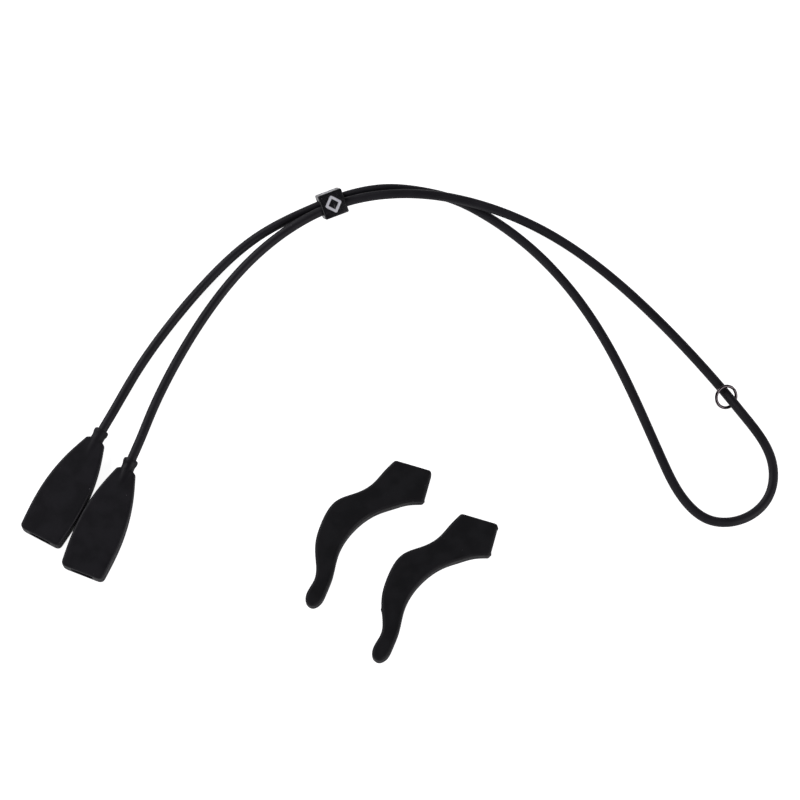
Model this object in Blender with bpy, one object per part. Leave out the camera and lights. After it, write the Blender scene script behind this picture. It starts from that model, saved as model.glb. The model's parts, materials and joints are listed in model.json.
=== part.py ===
"""A silicone retainer strap for glasses, laid out flat, with its pair of slip-on ear hooks.

One round cord makes a loop. Both its ends go into paddle-shaped temple sockets, both its strands pass
through a cube-shaped adjuster bead, and a small jump ring hangs on it near the closed end of the loop.
The two ear hooks are separate pieces that lie beside the strap. +Z is up and the table is at z = 0.
"""

import math

import bmesh
import bpy
import numpy as np
from mathutils import Matrix, Vector

MM = 0.001
UP = Vector((0, 0, 1))

# Fits
CLEARANCE = 0.3 * MM         # between pieces that only touch
RUNNING_CLEARANCE = 0.45 * MM    # round the cord where the bead slides on it
INLAY_CLEARANCE = 0.1 * MM   # round the enamel in its groove

# Cord
CORD_DIAMETER = 3.0 * MM
CORD_STEP = 7.6 * MM         # distance between the points of the cord's centre line
STRAIGHT_EXIT = 6.0 * MM     # the cord leaves a socket straight for this far
EXIT_DROP = 0.25 * MM        # and comes down this much on the way

# Both strands run side by side on two arcs about one upright axis where the bead slides.
BEAD_ARC_CENTRE = (43.8 * MM, 55.9 * MM)
NEAR_ARC_RADIUS = 58.1 * MM
STRAND_GAP = 0.36 * MM       # between the skins of the two strands in the bead
STRAND_PAIR_LEAN = 53.5      # degrees from upright of the line that joins the two strands
ARC_TURNS = (117.3, 105.8, 94.3)     # degrees round the arc's centre
BEAD_TURN = 111.8            # where the bead is now, in the same degrees

# Temple sockets
SOCKET_LENGTH = 39.5 * MM    # from the collar's face to the mouth
SOCKET_THICKNESS = 5.5 * MM
SOCKET_NECK_THICKNESS = 3.4 * MM     # of the paddle where it meets the neck
SHOULDER = 3.6 * MM          # length of the neck and collar
SHOULDER_CORNER = 0.8 * MM
MOUTH_CORNER = 1.4 * MM
SOCKET_EDGE = 0.9 * MM       # rounding along the paddle's long edges
END_EDGE = 0.7 * MM          # rounding round the mouth and the shoulder
HALF_WIDTHS = (              # share of the paddle's length from the shoulder, half width there
    (0.0, 2.9 * MM),
    (0.21, 5.4 * MM),
    (0.45, 7.1 * MM),
    (0.68, 7.6 * MM),
    (1.0, 6.9 * MM),
)
FULL_THICKNESS_AT = 0.6      # share of the paddle's length where the taper ends
NECK_RADIUS = 2.1 * MM
COLLAR_RADIUS = 2.35 * MM
COLLAR_LENGTH = 1.8 * MM
COLLAR_EDGE = 0.5 * MM
RIDGE_LENGTH = 12.4 * MM     # the neck runs on inside the paddle as a tapering ridge
RIDGE_TIP_RADIUS = 1.6 * MM
TEMPLE_SLOT_WIDTH = 7.3 * MM
TEMPLE_SLOT_HEIGHT = 3.3 * MM
TEMPLE_SLOT_DEPTH = 22.0 * MM
SOCKETS = (                  # name, middle of the collar's face, degrees from +X towards the mouth
    ("temple_socket_left", (-50.0 * MM, 36.6 * MM), -118.0),
    ("temple_socket_right", (-40.6 * MM, 27.1 * MM), -111.6),
)

# Adjuster bead
BEAD_SIZE = 8.0 * MM
BEAD_EDGE = 0.5 * MM
BEAD_ROLL = 24.0             # degrees that the bead leans over about the cord
BEAD_LIFT = 0.1 * MM         # air under its lowest edge
INLAY_HALF_LENGTH = 2.9 * MM     # of the diamond, along the cord
INLAY_HALF_WIDTH = 3.1 * MM      # and across it
INLAY_STROKE = 0.9 * MM
INLAY_GROOVE = 0.4 * MM
INLAY_SIDES = (("top", 0), ("near", 90), ("bottom", 180), ("far", 270))

# Jump ring
RING_OUTER_DIAMETER = 7.9 * MM
RING_WIRE = 0.98 * MM
RING_JOINT = 0.2 * MM        # opening between the wire's two ends
RING_JOINT_TURN = 100.0      # degrees round the ring
RING_CENTRE = (146.25 * MM, 47.6 * MM, 2.47 * MM)
RING_TILT = 34.0             # degrees from flat
RING_LEAN = -49.5            # degrees from +X of the way its axis leans
RING_STEPS = 44

# Ear hooks, drawn with the middle of the temple slot's mouth at the origin and the slot along -X
HOOK_THICKNESS = 5.3 * MM
HOOK_EDGE = 1.1 * MM
HOOK_CORNER = 1.1 * MM
HOOK_SLOT_WIDTH = 5.6 * MM
HOOK_SLOT_HEIGHT = 2.7 * MM
HOOK_HEAD_LENGTH = 18.0 * MM     # no part of the head is longer along the slot
HOOK_HEAD = ((-12.1 * MM, 5.4 * MM), (0.0, 5.1 * MM), (0.0, -5.3 * MM))
HOOK_CURVE = (               # from the head's lower corner round the tip to its upper corner
    (0.0, -5.3 * MM),
    (-5.0 * MM, -7.0 * MM),
    (-8.6 * MM, -9.2 * MM),
    (-12.8 * MM, -12.1 * MM),
    (-18.5 * MM, -19.3 * MM),
    (-21.1 * MM, -28.0 * MM),
    (-20.9 * MM, -36.0 * MM),
    (-21.4 * MM, -41.0 * MM),
    (-22.6 * MM, -45.1 * MM),
    (-24.6 * MM, -46.4 * MM),
    (-26.5 * MM, -45.6 * MM),
    (-27.2 * MM, -43.4 * MM),
    (-26.1 * MM, -38.1 * MM),
    (-28.6 * MM, -28.3 * MM),
    (-28.9 * MM, -20.0 * MM),
    (-26.2 * MM, -11.9 * MM),
    (-20.7 * MM, -7.7 * MM),
    (-16.8 * MM, -3.6 * MM),
    (-14.6 * MM, 0.9 * MM),
    (-12.1 * MM, 5.4 * MM),
)
HOOK_POINTS = 64             # points that the curve is drawn with
HOOK_HEADING = -15.4         # degrees from +X of the way the slot's mouth faces
HOOKS = (
    ("ear_hook_left", (52.2 * MM, 18.0 * MM)),
    ("ear_hook_right", (72.8 * MM, 0.85 * MM)),
)

# The cord's route between the sockets and the bead, in metres
LEFT_STRAND = (
    (-0.0394, 0.0566, 0.0018),
    (-0.0287, 0.0727, 0.0016),
    (-0.0164, 0.0877, 0.0020),
    (-0.0021, 0.1005, 0.0032),
)
LOOP = (
    (0.0500, 0.1161, 0.0030),
    (0.0603, 0.1138, 0.0020),
    (0.0709, 0.1084, 0.0016),
    (0.0844, 0.0981, 0.0016),
    (0.0983, 0.0826, 0.0016),
    (0.1093, 0.0649, 0.0016),
    (0.1180, 0.0461, 0.0016),
    (0.1258, 0.0270, 0.0016),
    (0.1325, 0.0141, 0.0016),
    (0.1398, 0.0080, 0.0016),
    (0.1508, 0.0084, 0.0016),
    (0.1587, 0.0155, 0.0016),
    (0.1599, 0.0270, 0.0022),
    (0.1519, 0.0406, 0.0038),
    (0.1465, 0.0484, 0.0022),
    (0.1397, 0.0571, 0.0016),
    (0.1244, 0.0743, 0.0016),
    (0.1075, 0.0903, 0.0017),
    (0.0896, 0.1026, 0.0028),
    (0.0724, 0.1098, 0.0046),
    (0.0596, 0.1131, 0.0052),
)
RIGHT_STRAND = (
    (0.0069, 0.1016, 0.0053),
    (-0.0069, 0.0896, 0.0032),
    (-0.0186, 0.0743, 0.0019),
    (-0.0282, 0.0574, 0.0016),
    (-0.0348, 0.0425, 0.0020),
)


def clear_scene():
    """Removes what the opening scene holds."""
    for thing in list(bpy.data.objects):
        bpy.data.objects.remove(thing, do_unlink=True)


def finish(name, colour, roughness, metallic=0.0):
    """A plain Principled material."""
    material = bpy.data.materials.new(name)
    material.use_nodes = True
    shader = material.node_tree.nodes["Principled BSDF"]
    shader.inputs["Base Color"].default_value = (*colour, 1.0)
    shader.inputs["Roughness"].default_value = roughness
    shader.inputs["Metallic"].default_value = metallic
    return material


def add_object(name, data, material, place=None):
    """Puts a mesh or a curve in the scene."""
    thing = bpy.data.objects.new(name, data)
    bpy.context.scene.collection.objects.link(thing)
    data.materials.append(material)
    if place is not None:
        thing.matrix_world = place
    return thing


def mesh_from(name, shape):
    """Turns a bmesh into a mesh with its faces pointing out."""
    bmesh.ops.recalc_face_normals(shape, faces=shape.faces)
    mesh = bpy.data.meshes.new(name)
    shape.to_mesh(mesh)
    shape.free()
    return mesh


def shade_round(mesh, sharp_over=35.0):
    """Smooth shading, with edges kept sharp where faces meet at more than this many degrees."""
    mesh.shade_smooth()
    mesh.set_sharp_from_angle(angle=math.radians(sharp_over))


def helper_object(name, mesh, parent):
    """An object that a Boolean uses. It is no piece of the strap itself."""
    thing = bpy.data.objects.new(name, mesh)
    bpy.context.scene.collection.objects.link(thing)
    thing.parent = parent
    thing.hide_render = True
    thing.display_type = "WIRE"
    return thing


def combine(target, other, operation):
    """Adds a Boolean that joins other to target or cuts it out."""
    boolean = target.modifiers.new(other.name, "BOOLEAN")
    boolean.operation = operation
    boolean.object = other
    boolean.solver = "EXACT"


def heading_vector(degrees):
    """The level unit vector that many degrees round from +X."""
    return Vector((math.cos(math.radians(degrees)), math.sin(math.radians(degrees)), 0))


def spline_bends(points, gaps):
    """Second derivatives at the points of a natural cubic spline."""
    count = len(points)
    system = np.eye(count)
    load = np.zeros_like(points)
    for i in range(1, count - 1):
        before, after = gaps[i - 1], gaps[i]
        system[i, i - 1 : i + 2] = before, 2 * (before + after), after
        load[i] = 6 * ((points[i + 1] - points[i]) / after - (points[i] - points[i - 1]) / before)
    return np.linalg.solve(system, load)


def smooth_line(points, samples=40):
    """Many points along one natural cubic spline through the given points."""
    points = np.array(points, float)
    gaps = np.linalg.norm(np.diff(points, axis=0), axis=1)
    bends = spline_bends(points, gaps)
    line = []
    for i, gap in enumerate(gaps):
        start_slope = points[i] / gap - bends[i] * gap / 6
        end_slope = points[i + 1] / gap - bends[i + 1] * gap / 6
        for done in np.arange(samples) / samples * gap:
            left = gap - done
            bent = (bends[i] * left**3 + bends[i + 1] * done**3) / (6 * gap)
            line.append(bent + start_slope * left + end_slope * done)
    line.append(points[-1])
    return np.array(line)


def even_points(line, count):
    """That many points at even distances along a line."""
    travelled = np.concatenate(([0.0], np.cumsum(np.linalg.norm(np.diff(line, axis=0), axis=1))))
    stops = np.linspace(0.0, travelled[-1], count)
    return np.stack([np.interp(stops, travelled, axis) for axis in line.T], axis=1)


def tube_curve(name, points, radius, around):
    """A curve with a round section and closed ends. around is its bevel resolution."""
    curve = bpy.data.curves.new(name, "CURVE")
    curve.dimensions = "3D"
    curve.bevel_depth = radius
    curve.bevel_resolution = around
    curve.use_fill_caps = True
    spline = curve.splines.new("POLY")
    spline.points.add(len(points) - 1)
    for point, place in zip(spline.points, points):
        point.co = (*place, 1.0)
    spline.use_smooth = True
    return curve


# ---------------------------------------------------------------- cord

def strand_spacing():
    """Distance between the centre lines of the two strands in the bead, level and upright."""
    apart = CORD_DIAMETER + STRAND_GAP
    lean = math.radians(STRAND_PAIR_LEAN)
    return apart * math.sin(lean), apart * math.cos(lean)


def bead_height():
    """Height of the bead's middle, which is also midway between the two strands."""
    roll = math.radians(BEAD_ROLL)
    return BEAD_LIFT + BEAD_SIZE / 2 * (math.cos(roll) + math.sin(roll))


def bead_arc(radius, height, turns):
    """Points of one strand where the bead slides."""
    centre = Vector((*BEAD_ARC_CENTRE, height))
    return [centre + heading_vector(turn) * radius for turn in turns]


def cord_exit(collar, heading):
    """The two first points of the cord outside a socket's collar."""
    start = Vector((*collar, SOCKET_THICKNESS / 2)) - heading_vector(heading) * CLEARANCE
    straight = Vector((*collar, SOCKET_THICKNESS / 2 - EXIT_DROP)) - heading_vector(heading) * STRAIGHT_EXIT
    return [start, straight]


def cord_route():
    """The cord's points from the left socket round the loop to the right socket."""
    level, upright = strand_spacing()
    far_strand = bead_arc(NEAR_ARC_RADIUS + level, bead_height() - upright / 2, ARC_TURNS)
    near_strand = bead_arc(NEAR_ARC_RADIUS, bead_height() + upright / 2, reversed(ARC_TURNS))
    first, last = (cord_exit(collar, heading) for name, collar, heading in SOCKETS)
    return [
        *first,
        *LEFT_STRAND,
        *far_strand,
        *LOOP,
        *near_strand,
        *RIGHT_STRAND,
        *reversed(last),
    ]


def make_cord(material):
    line = smooth_line(cord_route())
    length = np.linalg.norm(np.diff(line, axis=0), axis=1).sum()
    points = even_points(line, round(length / CORD_STEP) + 1)
    add_object("cord", tube_curve("cord", points, CORD_DIAMETER / 2, 2), material)


# ---------------------------------------------------------------- temple sockets

def rounded_corner(from_end, radius):
    """How far a round corner has cut the side back, at a distance from the end."""
    if from_end >= radius:
        return 0.0
    return radius - math.sqrt(radius**2 - (radius - from_end) ** 2)


def paddle_size(from_shoulder):
    """Half width and half thickness of the paddle, its end corners left square."""
    share = from_shoulder / (SOCKET_LENGTH - SHOULDER)
    shares, widths = smooth_line(HALF_WIDTHS).T
    rise = min(share / FULL_THICKNESS_AT, 1.0)
    swell = rise * rise * (3 - 2 * rise)
    thickness = SOCKET_NECK_THICKNESS + (SOCKET_THICKNESS - SOCKET_NECK_THICKNESS) * swell
    return np.interp(share, shares, widths), thickness / 2


def rounded_rectangle(half_width, half_height, radius, steps=3):
    """Corners of a rounded rectangle, anticlockwise."""
    outline = []
    for quarter, (side, top) in enumerate(((1, 1), (-1, 1), (-1, -1), (1, -1))):
        for step in range(steps + 1):
            turn = math.radians(90 * (quarter + step / steps))
            across = side * (half_width - radius) + radius * math.cos(turn)
            height = top * (half_height - radius) + radius * math.sin(turn)
            outline.append((across, height))
    return outline


def loft(name, sections):
    """A closed solid through sections, each a distance along X and an outline across it."""
    shape = bmesh.new()
    rings = [[shape.verts.new((x, *point)) for point in outline] for x, outline in sections]
    for ring, following in zip(rings, rings[1:]):
        for i in range(len(ring)):
            j = (i + 1) % len(ring)
            shape.faces.new((ring[i], ring[j], following[j], following[i]))
    shape.faces.new(rings[0])
    shape.faces.new(rings[-1])
    return mesh_from(name, shape)


def paddle_stations():
    """Distances from the shoulder where the paddle gets a section: close together at its round ends."""
    length = SOCKET_LENGTH - SHOULDER
    turns = [math.radians(angle) for angle in (0, 22.5, 45, 67.5, 90)]
    shoulder = [SHOULDER_CORNER * (1 - math.cos(turn)) for turn in turns]
    mouth = [length - MOUTH_CORNER * (1 - math.cos(turn)) for turn in reversed(turns)]
    middle = np.linspace(shoulder[-1], mouth[0], 12)[1:-1]
    return [*shoulder, *middle, *mouth]


def paddle_section(from_shoulder):
    """One section of the paddle, as loft() takes it."""
    from_mouth = SOCKET_LENGTH - SHOULDER - from_shoulder
    half_width, half_thickness = paddle_size(from_shoulder)
    half_width -= rounded_corner(from_shoulder, SHOULDER_CORNER) + rounded_corner(from_mouth, MOUTH_CORNER)
    half_thickness -= rounded_corner(from_shoulder, END_EDGE) + rounded_corner(from_mouth, END_EDGE)
    edge = min(SOCKET_EDGE, 0.8 * half_thickness)
    return SHOULDER + from_shoulder, rounded_rectangle(half_width, half_thickness, edge)


def turned_piece(name, profile, around=24):
    """A solid turned about the X axis. profile gives distances along X and radii."""
    turns = [2 * math.pi * step / around for step in range(around)]
    sections = [(x, [(r * math.cos(turn), r * math.sin(turn)) for turn in turns]) for x, r in profile]
    return loft(name, sections)


def neck_profile():
    """The collar, the neck and the ridge that runs on into the paddle."""
    return (
        (0.0, COLLAR_RADIUS - COLLAR_EDGE),
        (0.3 * COLLAR_EDGE, COLLAR_RADIUS - 0.3 * COLLAR_EDGE),
        (COLLAR_EDGE, COLLAR_RADIUS),
        (COLLAR_LENGTH - COLLAR_EDGE, COLLAR_RADIUS),
        (COLLAR_LENGTH, NECK_RADIUS),
        (SHOULDER + 2 * SHOULDER_CORNER, NECK_RADIUS),
        (SHOULDER + RIDGE_LENGTH, RIDGE_TIP_RADIUS),
    )


def slot_cutter(name, mouth, depth, width, height, overshoot):
    """A slot along X from past its mouth to its depth, with round long edges."""
    outline = rounded_rectangle(width / 2, height / 2, height / 3)
    return loft(name, ((mouth - depth, outline), (mouth + overshoot, outline)))


def make_socket(name, collar, heading, material):
    place = Matrix.Translation((*collar, SOCKET_THICKNESS / 2)) @ Matrix.Rotation(math.radians(heading), 4, "Z")
    paddle = loft(name, [paddle_section(x) for x in paddle_stations()])
    shade_round(paddle)
    socket = add_object(name, paddle, material, place)
    neck = turned_piece(name + "_neck", neck_profile())
    shade_round(neck)
    combine(socket, helper_object(name + "_neck", neck, socket), "UNION")
    slot = slot_cutter(
        name + "_slot", SOCKET_LENGTH, TEMPLE_SLOT_DEPTH, TEMPLE_SLOT_WIDTH, TEMPLE_SLOT_HEIGHT, MM
    )
    combine(socket, helper_object(name + "_slot", slot, socket), "DIFFERENCE")
    return socket


# ---------------------------------------------------------------- adjuster bead

def bead_place():
    """The bead's own frame: X along the cord, Z out of its top face."""
    level = strand_spacing()[0]
    outward = heading_vector(BEAD_TURN)
    middle = Vector((*BEAD_ARC_CENTRE, bead_height()))
    middle += outward * (NEAR_ARC_RADIUS + level / 2)
    along = -UP.cross(outward)
    roll = math.radians(BEAD_ROLL)
    top = UP * math.cos(roll) - outward * math.sin(roll)
    across = top.cross(along)
    axes = Matrix((along, across, top)).transposed()
    return Matrix.Translation(middle) @ axes.to_4x4()


def bead_tunnel():
    """The cutter for the hole that both strands share."""
    radius = CORD_DIAMETER / 2 + RUNNING_CLEARANCE
    half_apart = (CORD_DIAMETER + STRAND_GAP) / 2
    outline = rounded_rectangle(radius, half_apart + radius, radius - 0.01 * MM, steps=6)
    lean = math.radians(STRAND_PAIR_LEAN - BEAD_ROLL)
    turned = [
        (y * math.cos(lean) - z * math.sin(lean), y * math.sin(lean) + z * math.cos(lean))
        for y, z in outline
    ]
    reach = BEAD_SIZE / 2 + MM
    return loft("bead_tunnel", ((-reach, turned), (reach, turned)))


def diamond(half_length, half_width):
    """Corners of a diamond, anticlockwise."""
    return ((half_length, 0), (0, half_width), (-half_length, 0), (0, -half_width))


def diamond_frame(name, grow, low, high):
    """A diamond-shaped frame between two heights, its stroke wider by grow on each side."""
    slant = math.hypot(INLAY_HALF_LENGTH, INLAY_HALF_WIDTH)
    inner_radius = INLAY_HALF_LENGTH * INLAY_HALF_WIDTH / slant
    outer = 1 + grow / inner_radius
    inner = 1 - (INLAY_STROKE + grow) / inner_radius
    shape = bmesh.new()
    loops = []
    for share, height in ((outer, low), (outer, high), (inner, high), (inner, low)):
        corners = diamond(INLAY_HALF_LENGTH * share, INLAY_HALF_WIDTH * share)
        loops.append([shape.verts.new((x, y, height)) for x, y in corners])
    for loop, following in zip(loops, loops[1:] + loops[:1]):
        for i in range(len(loop)):
            j = (i + 1) % len(loop)
            shape.faces.new((loop[i], loop[j], following[j], following[i]))
    return mesh_from(name, shape)


def make_bead(bead_material, enamel):
    shape = bmesh.new()
    bmesh.ops.create_cube(shape, size=BEAD_SIZE)
    bmesh.ops.bevel(
        shape, geom=shape.edges[:], offset=BEAD_EDGE, segments=3, profile=0.5, affect="EDGES"
    )
    body = mesh_from("slider_bead", shape)
    shade_round(body)
    bead = add_object("slider_bead", body, bead_material, bead_place())
    combine(bead, helper_object("bead_tunnel", bead_tunnel(), bead), "DIFFERENCE")
    face = BEAD_SIZE / 2
    groove = diamond_frame("bead_groove", INLAY_CLEARANCE, face - INLAY_GROOVE, face + MM)
    inlay = diamond_frame("slider_inlay", 0.0, face - INLAY_GROOVE + INLAY_CLEARANCE, face)
    inlay.materials.append(enamel)
    for side, turn in INLAY_SIDES:
        turned = Matrix.Rotation(math.radians(turn), 4, "X")
        cutter = helper_object("bead_groove_" + side, groove, bead)
        cutter.matrix_local = turned
        combine(bead, cutter, "DIFFERENCE")
        piece = bpy.data.objects.new("slider_inlay_" + side, inlay)
        bpy.context.scene.collection.objects.link(piece)
        piece.parent = bead
        piece.matrix_local = turned


# ---------------------------------------------------------------- jump ring

def make_ring(material):
    radius = (RING_OUTER_DIAMETER - RING_WIRE) / 2
    opening = RING_JOINT / radius
    first = math.radians(RING_JOINT_TURN) + opening / 2
    points = []
    for step in range(RING_STEPS + 1):
        turn = first + (2 * math.pi - opening) * step / RING_STEPS
        points.append((radius * math.cos(turn), radius * math.sin(turn), 0.0))
    lean = Matrix.Rotation(math.radians(RING_LEAN), 4, "Z") @ Matrix.Rotation(math.radians(RING_TILT), 4, "Y")
    place = Matrix.Translation(RING_CENTRE) @ lean
    add_object("jump_ring", tube_curve("jump_ring", points, RING_WIRE / 2, 2), material, place)


# ---------------------------------------------------------------- ear hooks

def hook_mesh():
    """The hook's outline, made thick, with its head's corners and all its edges rounded."""
    curve = even_points(smooth_line(HOOK_CURVE), HOOK_POINTS)
    outline = [*curve[:-1], HOOK_HEAD[0], HOOK_HEAD[1]]
    shape = bmesh.new()
    floor = [shape.verts.new((x, y, 0)) for x, y in outline]
    face = shape.faces.new(floor)
    raised = bmesh.ops.extrude_face_region(shape, geom=[face])
    top = [item for item in raised["geom"] if isinstance(item, bmesh.types.BMVert)]
    bmesh.ops.translate(shape, verts=top, vec=(0, 0, HOOK_THICKNESS))
    corners = []
    for edge in shape.edges:
        low, high = edge.verts
        upright = abs(low.co.z - high.co.z) > HOOK_THICKNESS / 2
        if upright and any((low.co.xy - Vector(corner)).length < MM / 10 for corner in HOOK_HEAD):
            corners.append(edge)
    bmesh.ops.bevel(shape, geom=corners, offset=HOOK_CORNER, segments=4, profile=0.5, affect="EDGES")
    return mesh_from("ear_hook", shape)


def make_hooks(material):
    shared = hook_mesh()
    shared.materials.append(material)
    shade_round(shared)
    for name, mouth in HOOKS:
        hook = bpy.data.objects.new(name, shared)
        bpy.context.scene.collection.objects.link(hook)
        hook.location = (*mouth, 0)
        hook.rotation_euler.z = math.radians(HOOK_HEADING)
        edges = hook.modifiers.new("round edges", "BEVEL")
        edges.width = HOOK_EDGE
        edges.segments = 3
        edges.limit_method = "ANGLE"
        edges.angle_limit = math.radians(60)
        edges.use_clamp_overlap = False
        slot = slot_cutter(
            name + "_slot", 0.0, HOOK_HEAD_LENGTH, HOOK_SLOT_WIDTH, HOOK_SLOT_HEIGHT, MM
        )
        cutter = helper_object(name + "_slot", slot, hook)
        cutter.location.z = HOOK_THICKNESS / 2
        combine(hook, cutter, "DIFFERENCE")


def main():
    clear_scene()
    make_cord(finish("cord silicone", (0.016, 0.016, 0.018), 0.5))
    socket_silicone = finish("socket silicone", (0.012, 0.012, 0.014), 0.6)
    for name, collar, heading in SOCKETS:
        make_socket(name, collar, heading, socket_silicone)
    acrylic = finish("black acrylic", (0.004, 0.004, 0.005), 0.12)
    make_bead(acrylic, finish("silver enamel", (0.52, 0.52, 0.6), 0.4))
    make_ring(finish("dark nickel", (0.32, 0.3, 0.31), 0.22, metallic=1.0))
    make_hooks(finish("hook silicone", (0.01, 0.01, 0.011), 0.65))


main()
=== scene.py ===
# %% [markdown]
# # A retainer strap for glasses
#
# This lesson builds the looks of a soft cord strap: a round silicone cord that makes one long loop, two
# moulded sockets that slip over the arms of a pair of glasses, a cube bead that slides on both strands,
# a small metal ring, and a loose pair of ear hooks that is sold with it. The working model comes first
# and stays as it is. Every piece made here lies where its plain working solid lies, and takes its place.

# %% Load the working model
import json
import math

import bmesh
import bpy
import numpy as np
from mathutils import Matrix, Vector, noise


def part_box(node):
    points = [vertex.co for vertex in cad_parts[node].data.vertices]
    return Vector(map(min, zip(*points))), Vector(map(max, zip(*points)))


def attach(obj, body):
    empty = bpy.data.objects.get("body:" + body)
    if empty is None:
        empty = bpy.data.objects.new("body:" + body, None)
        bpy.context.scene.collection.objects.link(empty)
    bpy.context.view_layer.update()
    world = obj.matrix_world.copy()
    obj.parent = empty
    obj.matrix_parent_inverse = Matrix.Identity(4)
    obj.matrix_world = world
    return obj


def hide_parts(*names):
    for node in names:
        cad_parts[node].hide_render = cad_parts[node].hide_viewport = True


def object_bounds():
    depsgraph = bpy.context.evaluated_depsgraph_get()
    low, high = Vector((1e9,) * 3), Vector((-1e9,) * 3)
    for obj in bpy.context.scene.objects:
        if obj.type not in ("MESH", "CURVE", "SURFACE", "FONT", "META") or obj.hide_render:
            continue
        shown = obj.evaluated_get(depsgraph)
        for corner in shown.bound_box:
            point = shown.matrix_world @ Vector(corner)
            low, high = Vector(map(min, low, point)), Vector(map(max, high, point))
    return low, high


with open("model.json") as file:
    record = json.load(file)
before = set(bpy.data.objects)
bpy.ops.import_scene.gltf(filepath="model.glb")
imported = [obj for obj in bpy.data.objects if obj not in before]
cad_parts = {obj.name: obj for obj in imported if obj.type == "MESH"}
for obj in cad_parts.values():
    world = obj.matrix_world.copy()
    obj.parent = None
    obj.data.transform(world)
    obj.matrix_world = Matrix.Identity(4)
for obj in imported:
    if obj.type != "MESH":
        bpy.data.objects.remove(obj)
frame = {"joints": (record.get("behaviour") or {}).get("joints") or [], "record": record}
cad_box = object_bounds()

MM = 0.001
UP = Vector((0, 0, 1))
NOISE_SEED = 7
noise.seed_set(NOISE_SEED)       # unless it is given a seed, noise_vector starts from the clock

box_middle = (cad_box[0] + cad_box[1]) / 2
box_size = cad_box[1] - cad_box[0]
print("box in mm:", [round(side / MM, 1) for side in box_size])

# %% [markdown]
# ## The camera
#
# Small goods are shown from far away with a long lens, so that near and far ends look equally
# big. The camera stands a metre away and looks down steeply, 16 degrees off the upright, which just
# shows the walls that face it. An orthographic camera would also do, but it shows no near and far at all.

# %% Camera
CAMERA_DISTANCE = 1.0
CAMERA_ELEVATION = math.radians(74.0)
VIEW_WIDTH = 252.6 * MM          # what the frame takes in across the strap
SENSOR_WIDTH = 36.0
LOOK_ASIDE, LOOK_BEYOND = -0.3 * MM, 6.9 * MM    # from the box's middle to the point looked at

camera_data = bpy.data.cameras.new("camera")
camera_data.sensor_width = SENSOR_WIDTH
camera_data.lens = SENSOR_WIDTH * CAMERA_DISTANCE / VIEW_WIDTH
camera_data.clip_start = 0.05
camera_data.clip_end = 20.0
camera = bpy.data.objects.new("camera", camera_data)
bpy.context.scene.collection.objects.link(camera)

looked_at = Vector((box_middle.x + LOOK_ASIDE, box_middle.y + LOOK_BEYOND, 0.0))
back = Vector((0, -math.cos(CAMERA_ELEVATION), math.sin(CAMERA_ELEVATION)))
camera.location = looked_at + back * CAMERA_DISTANCE
camera.rotation_euler = (-back).to_track_quat("-Z", "Y").to_euler()
bpy.context.scene.camera = camera
print("lens in mm:", round(camera_data.lens, 1))

# %% [markdown]
# ## The cord's line
#
# A soft cord takes smooth bends, because bending it costs the same everywhere. A natural cubic spline
# does the same thing in numbers: it passes through every chosen point and spreads the bend evenly. The
# points below are listed one by one, from the left socket, through the bead, round the long loop, back
# through the bead and down to the right socket. Where the bead slides, both strands run on arcs about
# one upright axis, which is the axis that the bead's joint turns about.

# %% Route of the cord
CORD_DIAMETER = 3.0 * MM
STRAIGHT_EXIT = 6.0 * MM         # the cord leaves a socket straight for this far
EXIT_DROP = 0.25 * MM            # and comes down this much on the way
EXIT_GAP = 0.3 * MM              # from the collar's face to the end of the working cord
CORD_IN_SOCKET = 2.4 * MM        # how far the cord goes into the neck
ARC_TURNS = (117.3, 105.8, 94.3)     # degrees round the bead's axis
BEAD_TURN = 111.8                # where the bead is now, in the same degrees
NEAR_ARC_RADIUS = 58.1 * MM
STRAND_GAP = 0.36 * MM           # between the skins of the two strands in the bead
STRAND_PAIR_LEAN = math.radians(53.5)    # from upright, of the line that joins the strands

LEFT_STRAND = (
    (-0.0394, 0.0566, 0.0018), (-0.0287, 0.0727, 0.0016), (-0.0164, 0.0877, 0.0020),
    (-0.0021, 0.1005, 0.0032),
)
LOOP = (
    (0.0500, 0.1161, 0.0030), (0.0603, 0.1138, 0.0020), (0.0709, 0.1084, 0.0016),
    (0.0844, 0.0981, 0.0016), (0.0983, 0.0826, 0.0016), (0.1093, 0.0649, 0.0016),
    (0.1180, 0.0461, 0.0016), (0.1258, 0.0270, 0.0016), (0.1325, 0.0141, 0.0016),
    (0.1398, 0.0080, 0.0016), (0.1508, 0.0084, 0.0016), (0.1587, 0.0155, 0.0016),
    (0.1599, 0.0270, 0.0022), (0.1519, 0.0406, 0.0038), (0.1465, 0.0484, 0.0022),
    (0.1397, 0.0571, 0.0016), (0.1244, 0.0743, 0.0016), (0.1075, 0.0903, 0.0017),
    (0.0896, 0.1026, 0.0028), (0.0724, 0.1098, 0.0046), (0.0596, 0.1131, 0.0052),
)
RIGHT_STRAND = (
    (0.0069, 0.1016, 0.0053), (-0.0069, 0.0896, 0.0032), (-0.0186, 0.0743, 0.0019),
    (-0.0282, 0.0574, 0.0016), (-0.0348, 0.0425, 0.0020),
)


def heading(degrees):
    """The level direction that many degrees round from +X."""
    return Vector((math.cos(math.radians(degrees)), math.sin(math.radians(degrees)), 0))


def joint(name):
    """A joint of the working model, by its name."""
    return next(j for j in frame["joints"] if j["name"] == name)


def mount(name):
    """A mounting face of the working model: a point on it, and the way it faces."""
    found = next(m for m in frame["record"]["mounts"] if m["name"] == name)
    return Vector(found["pos_m"]), Vector(found["axis"]).normalized()


bead_axis = Vector(joint("slider_travel")["pos_m"])
bead_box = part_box("slider_bead")
bead_height = (bead_box[0].z + bead_box[1].z) / 2
strand_level = (CORD_DIAMETER + STRAND_GAP) * math.sin(STRAND_PAIR_LEAN)
strand_upright = (CORD_DIAMETER + STRAND_GAP) * math.cos(STRAND_PAIR_LEAN)


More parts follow.
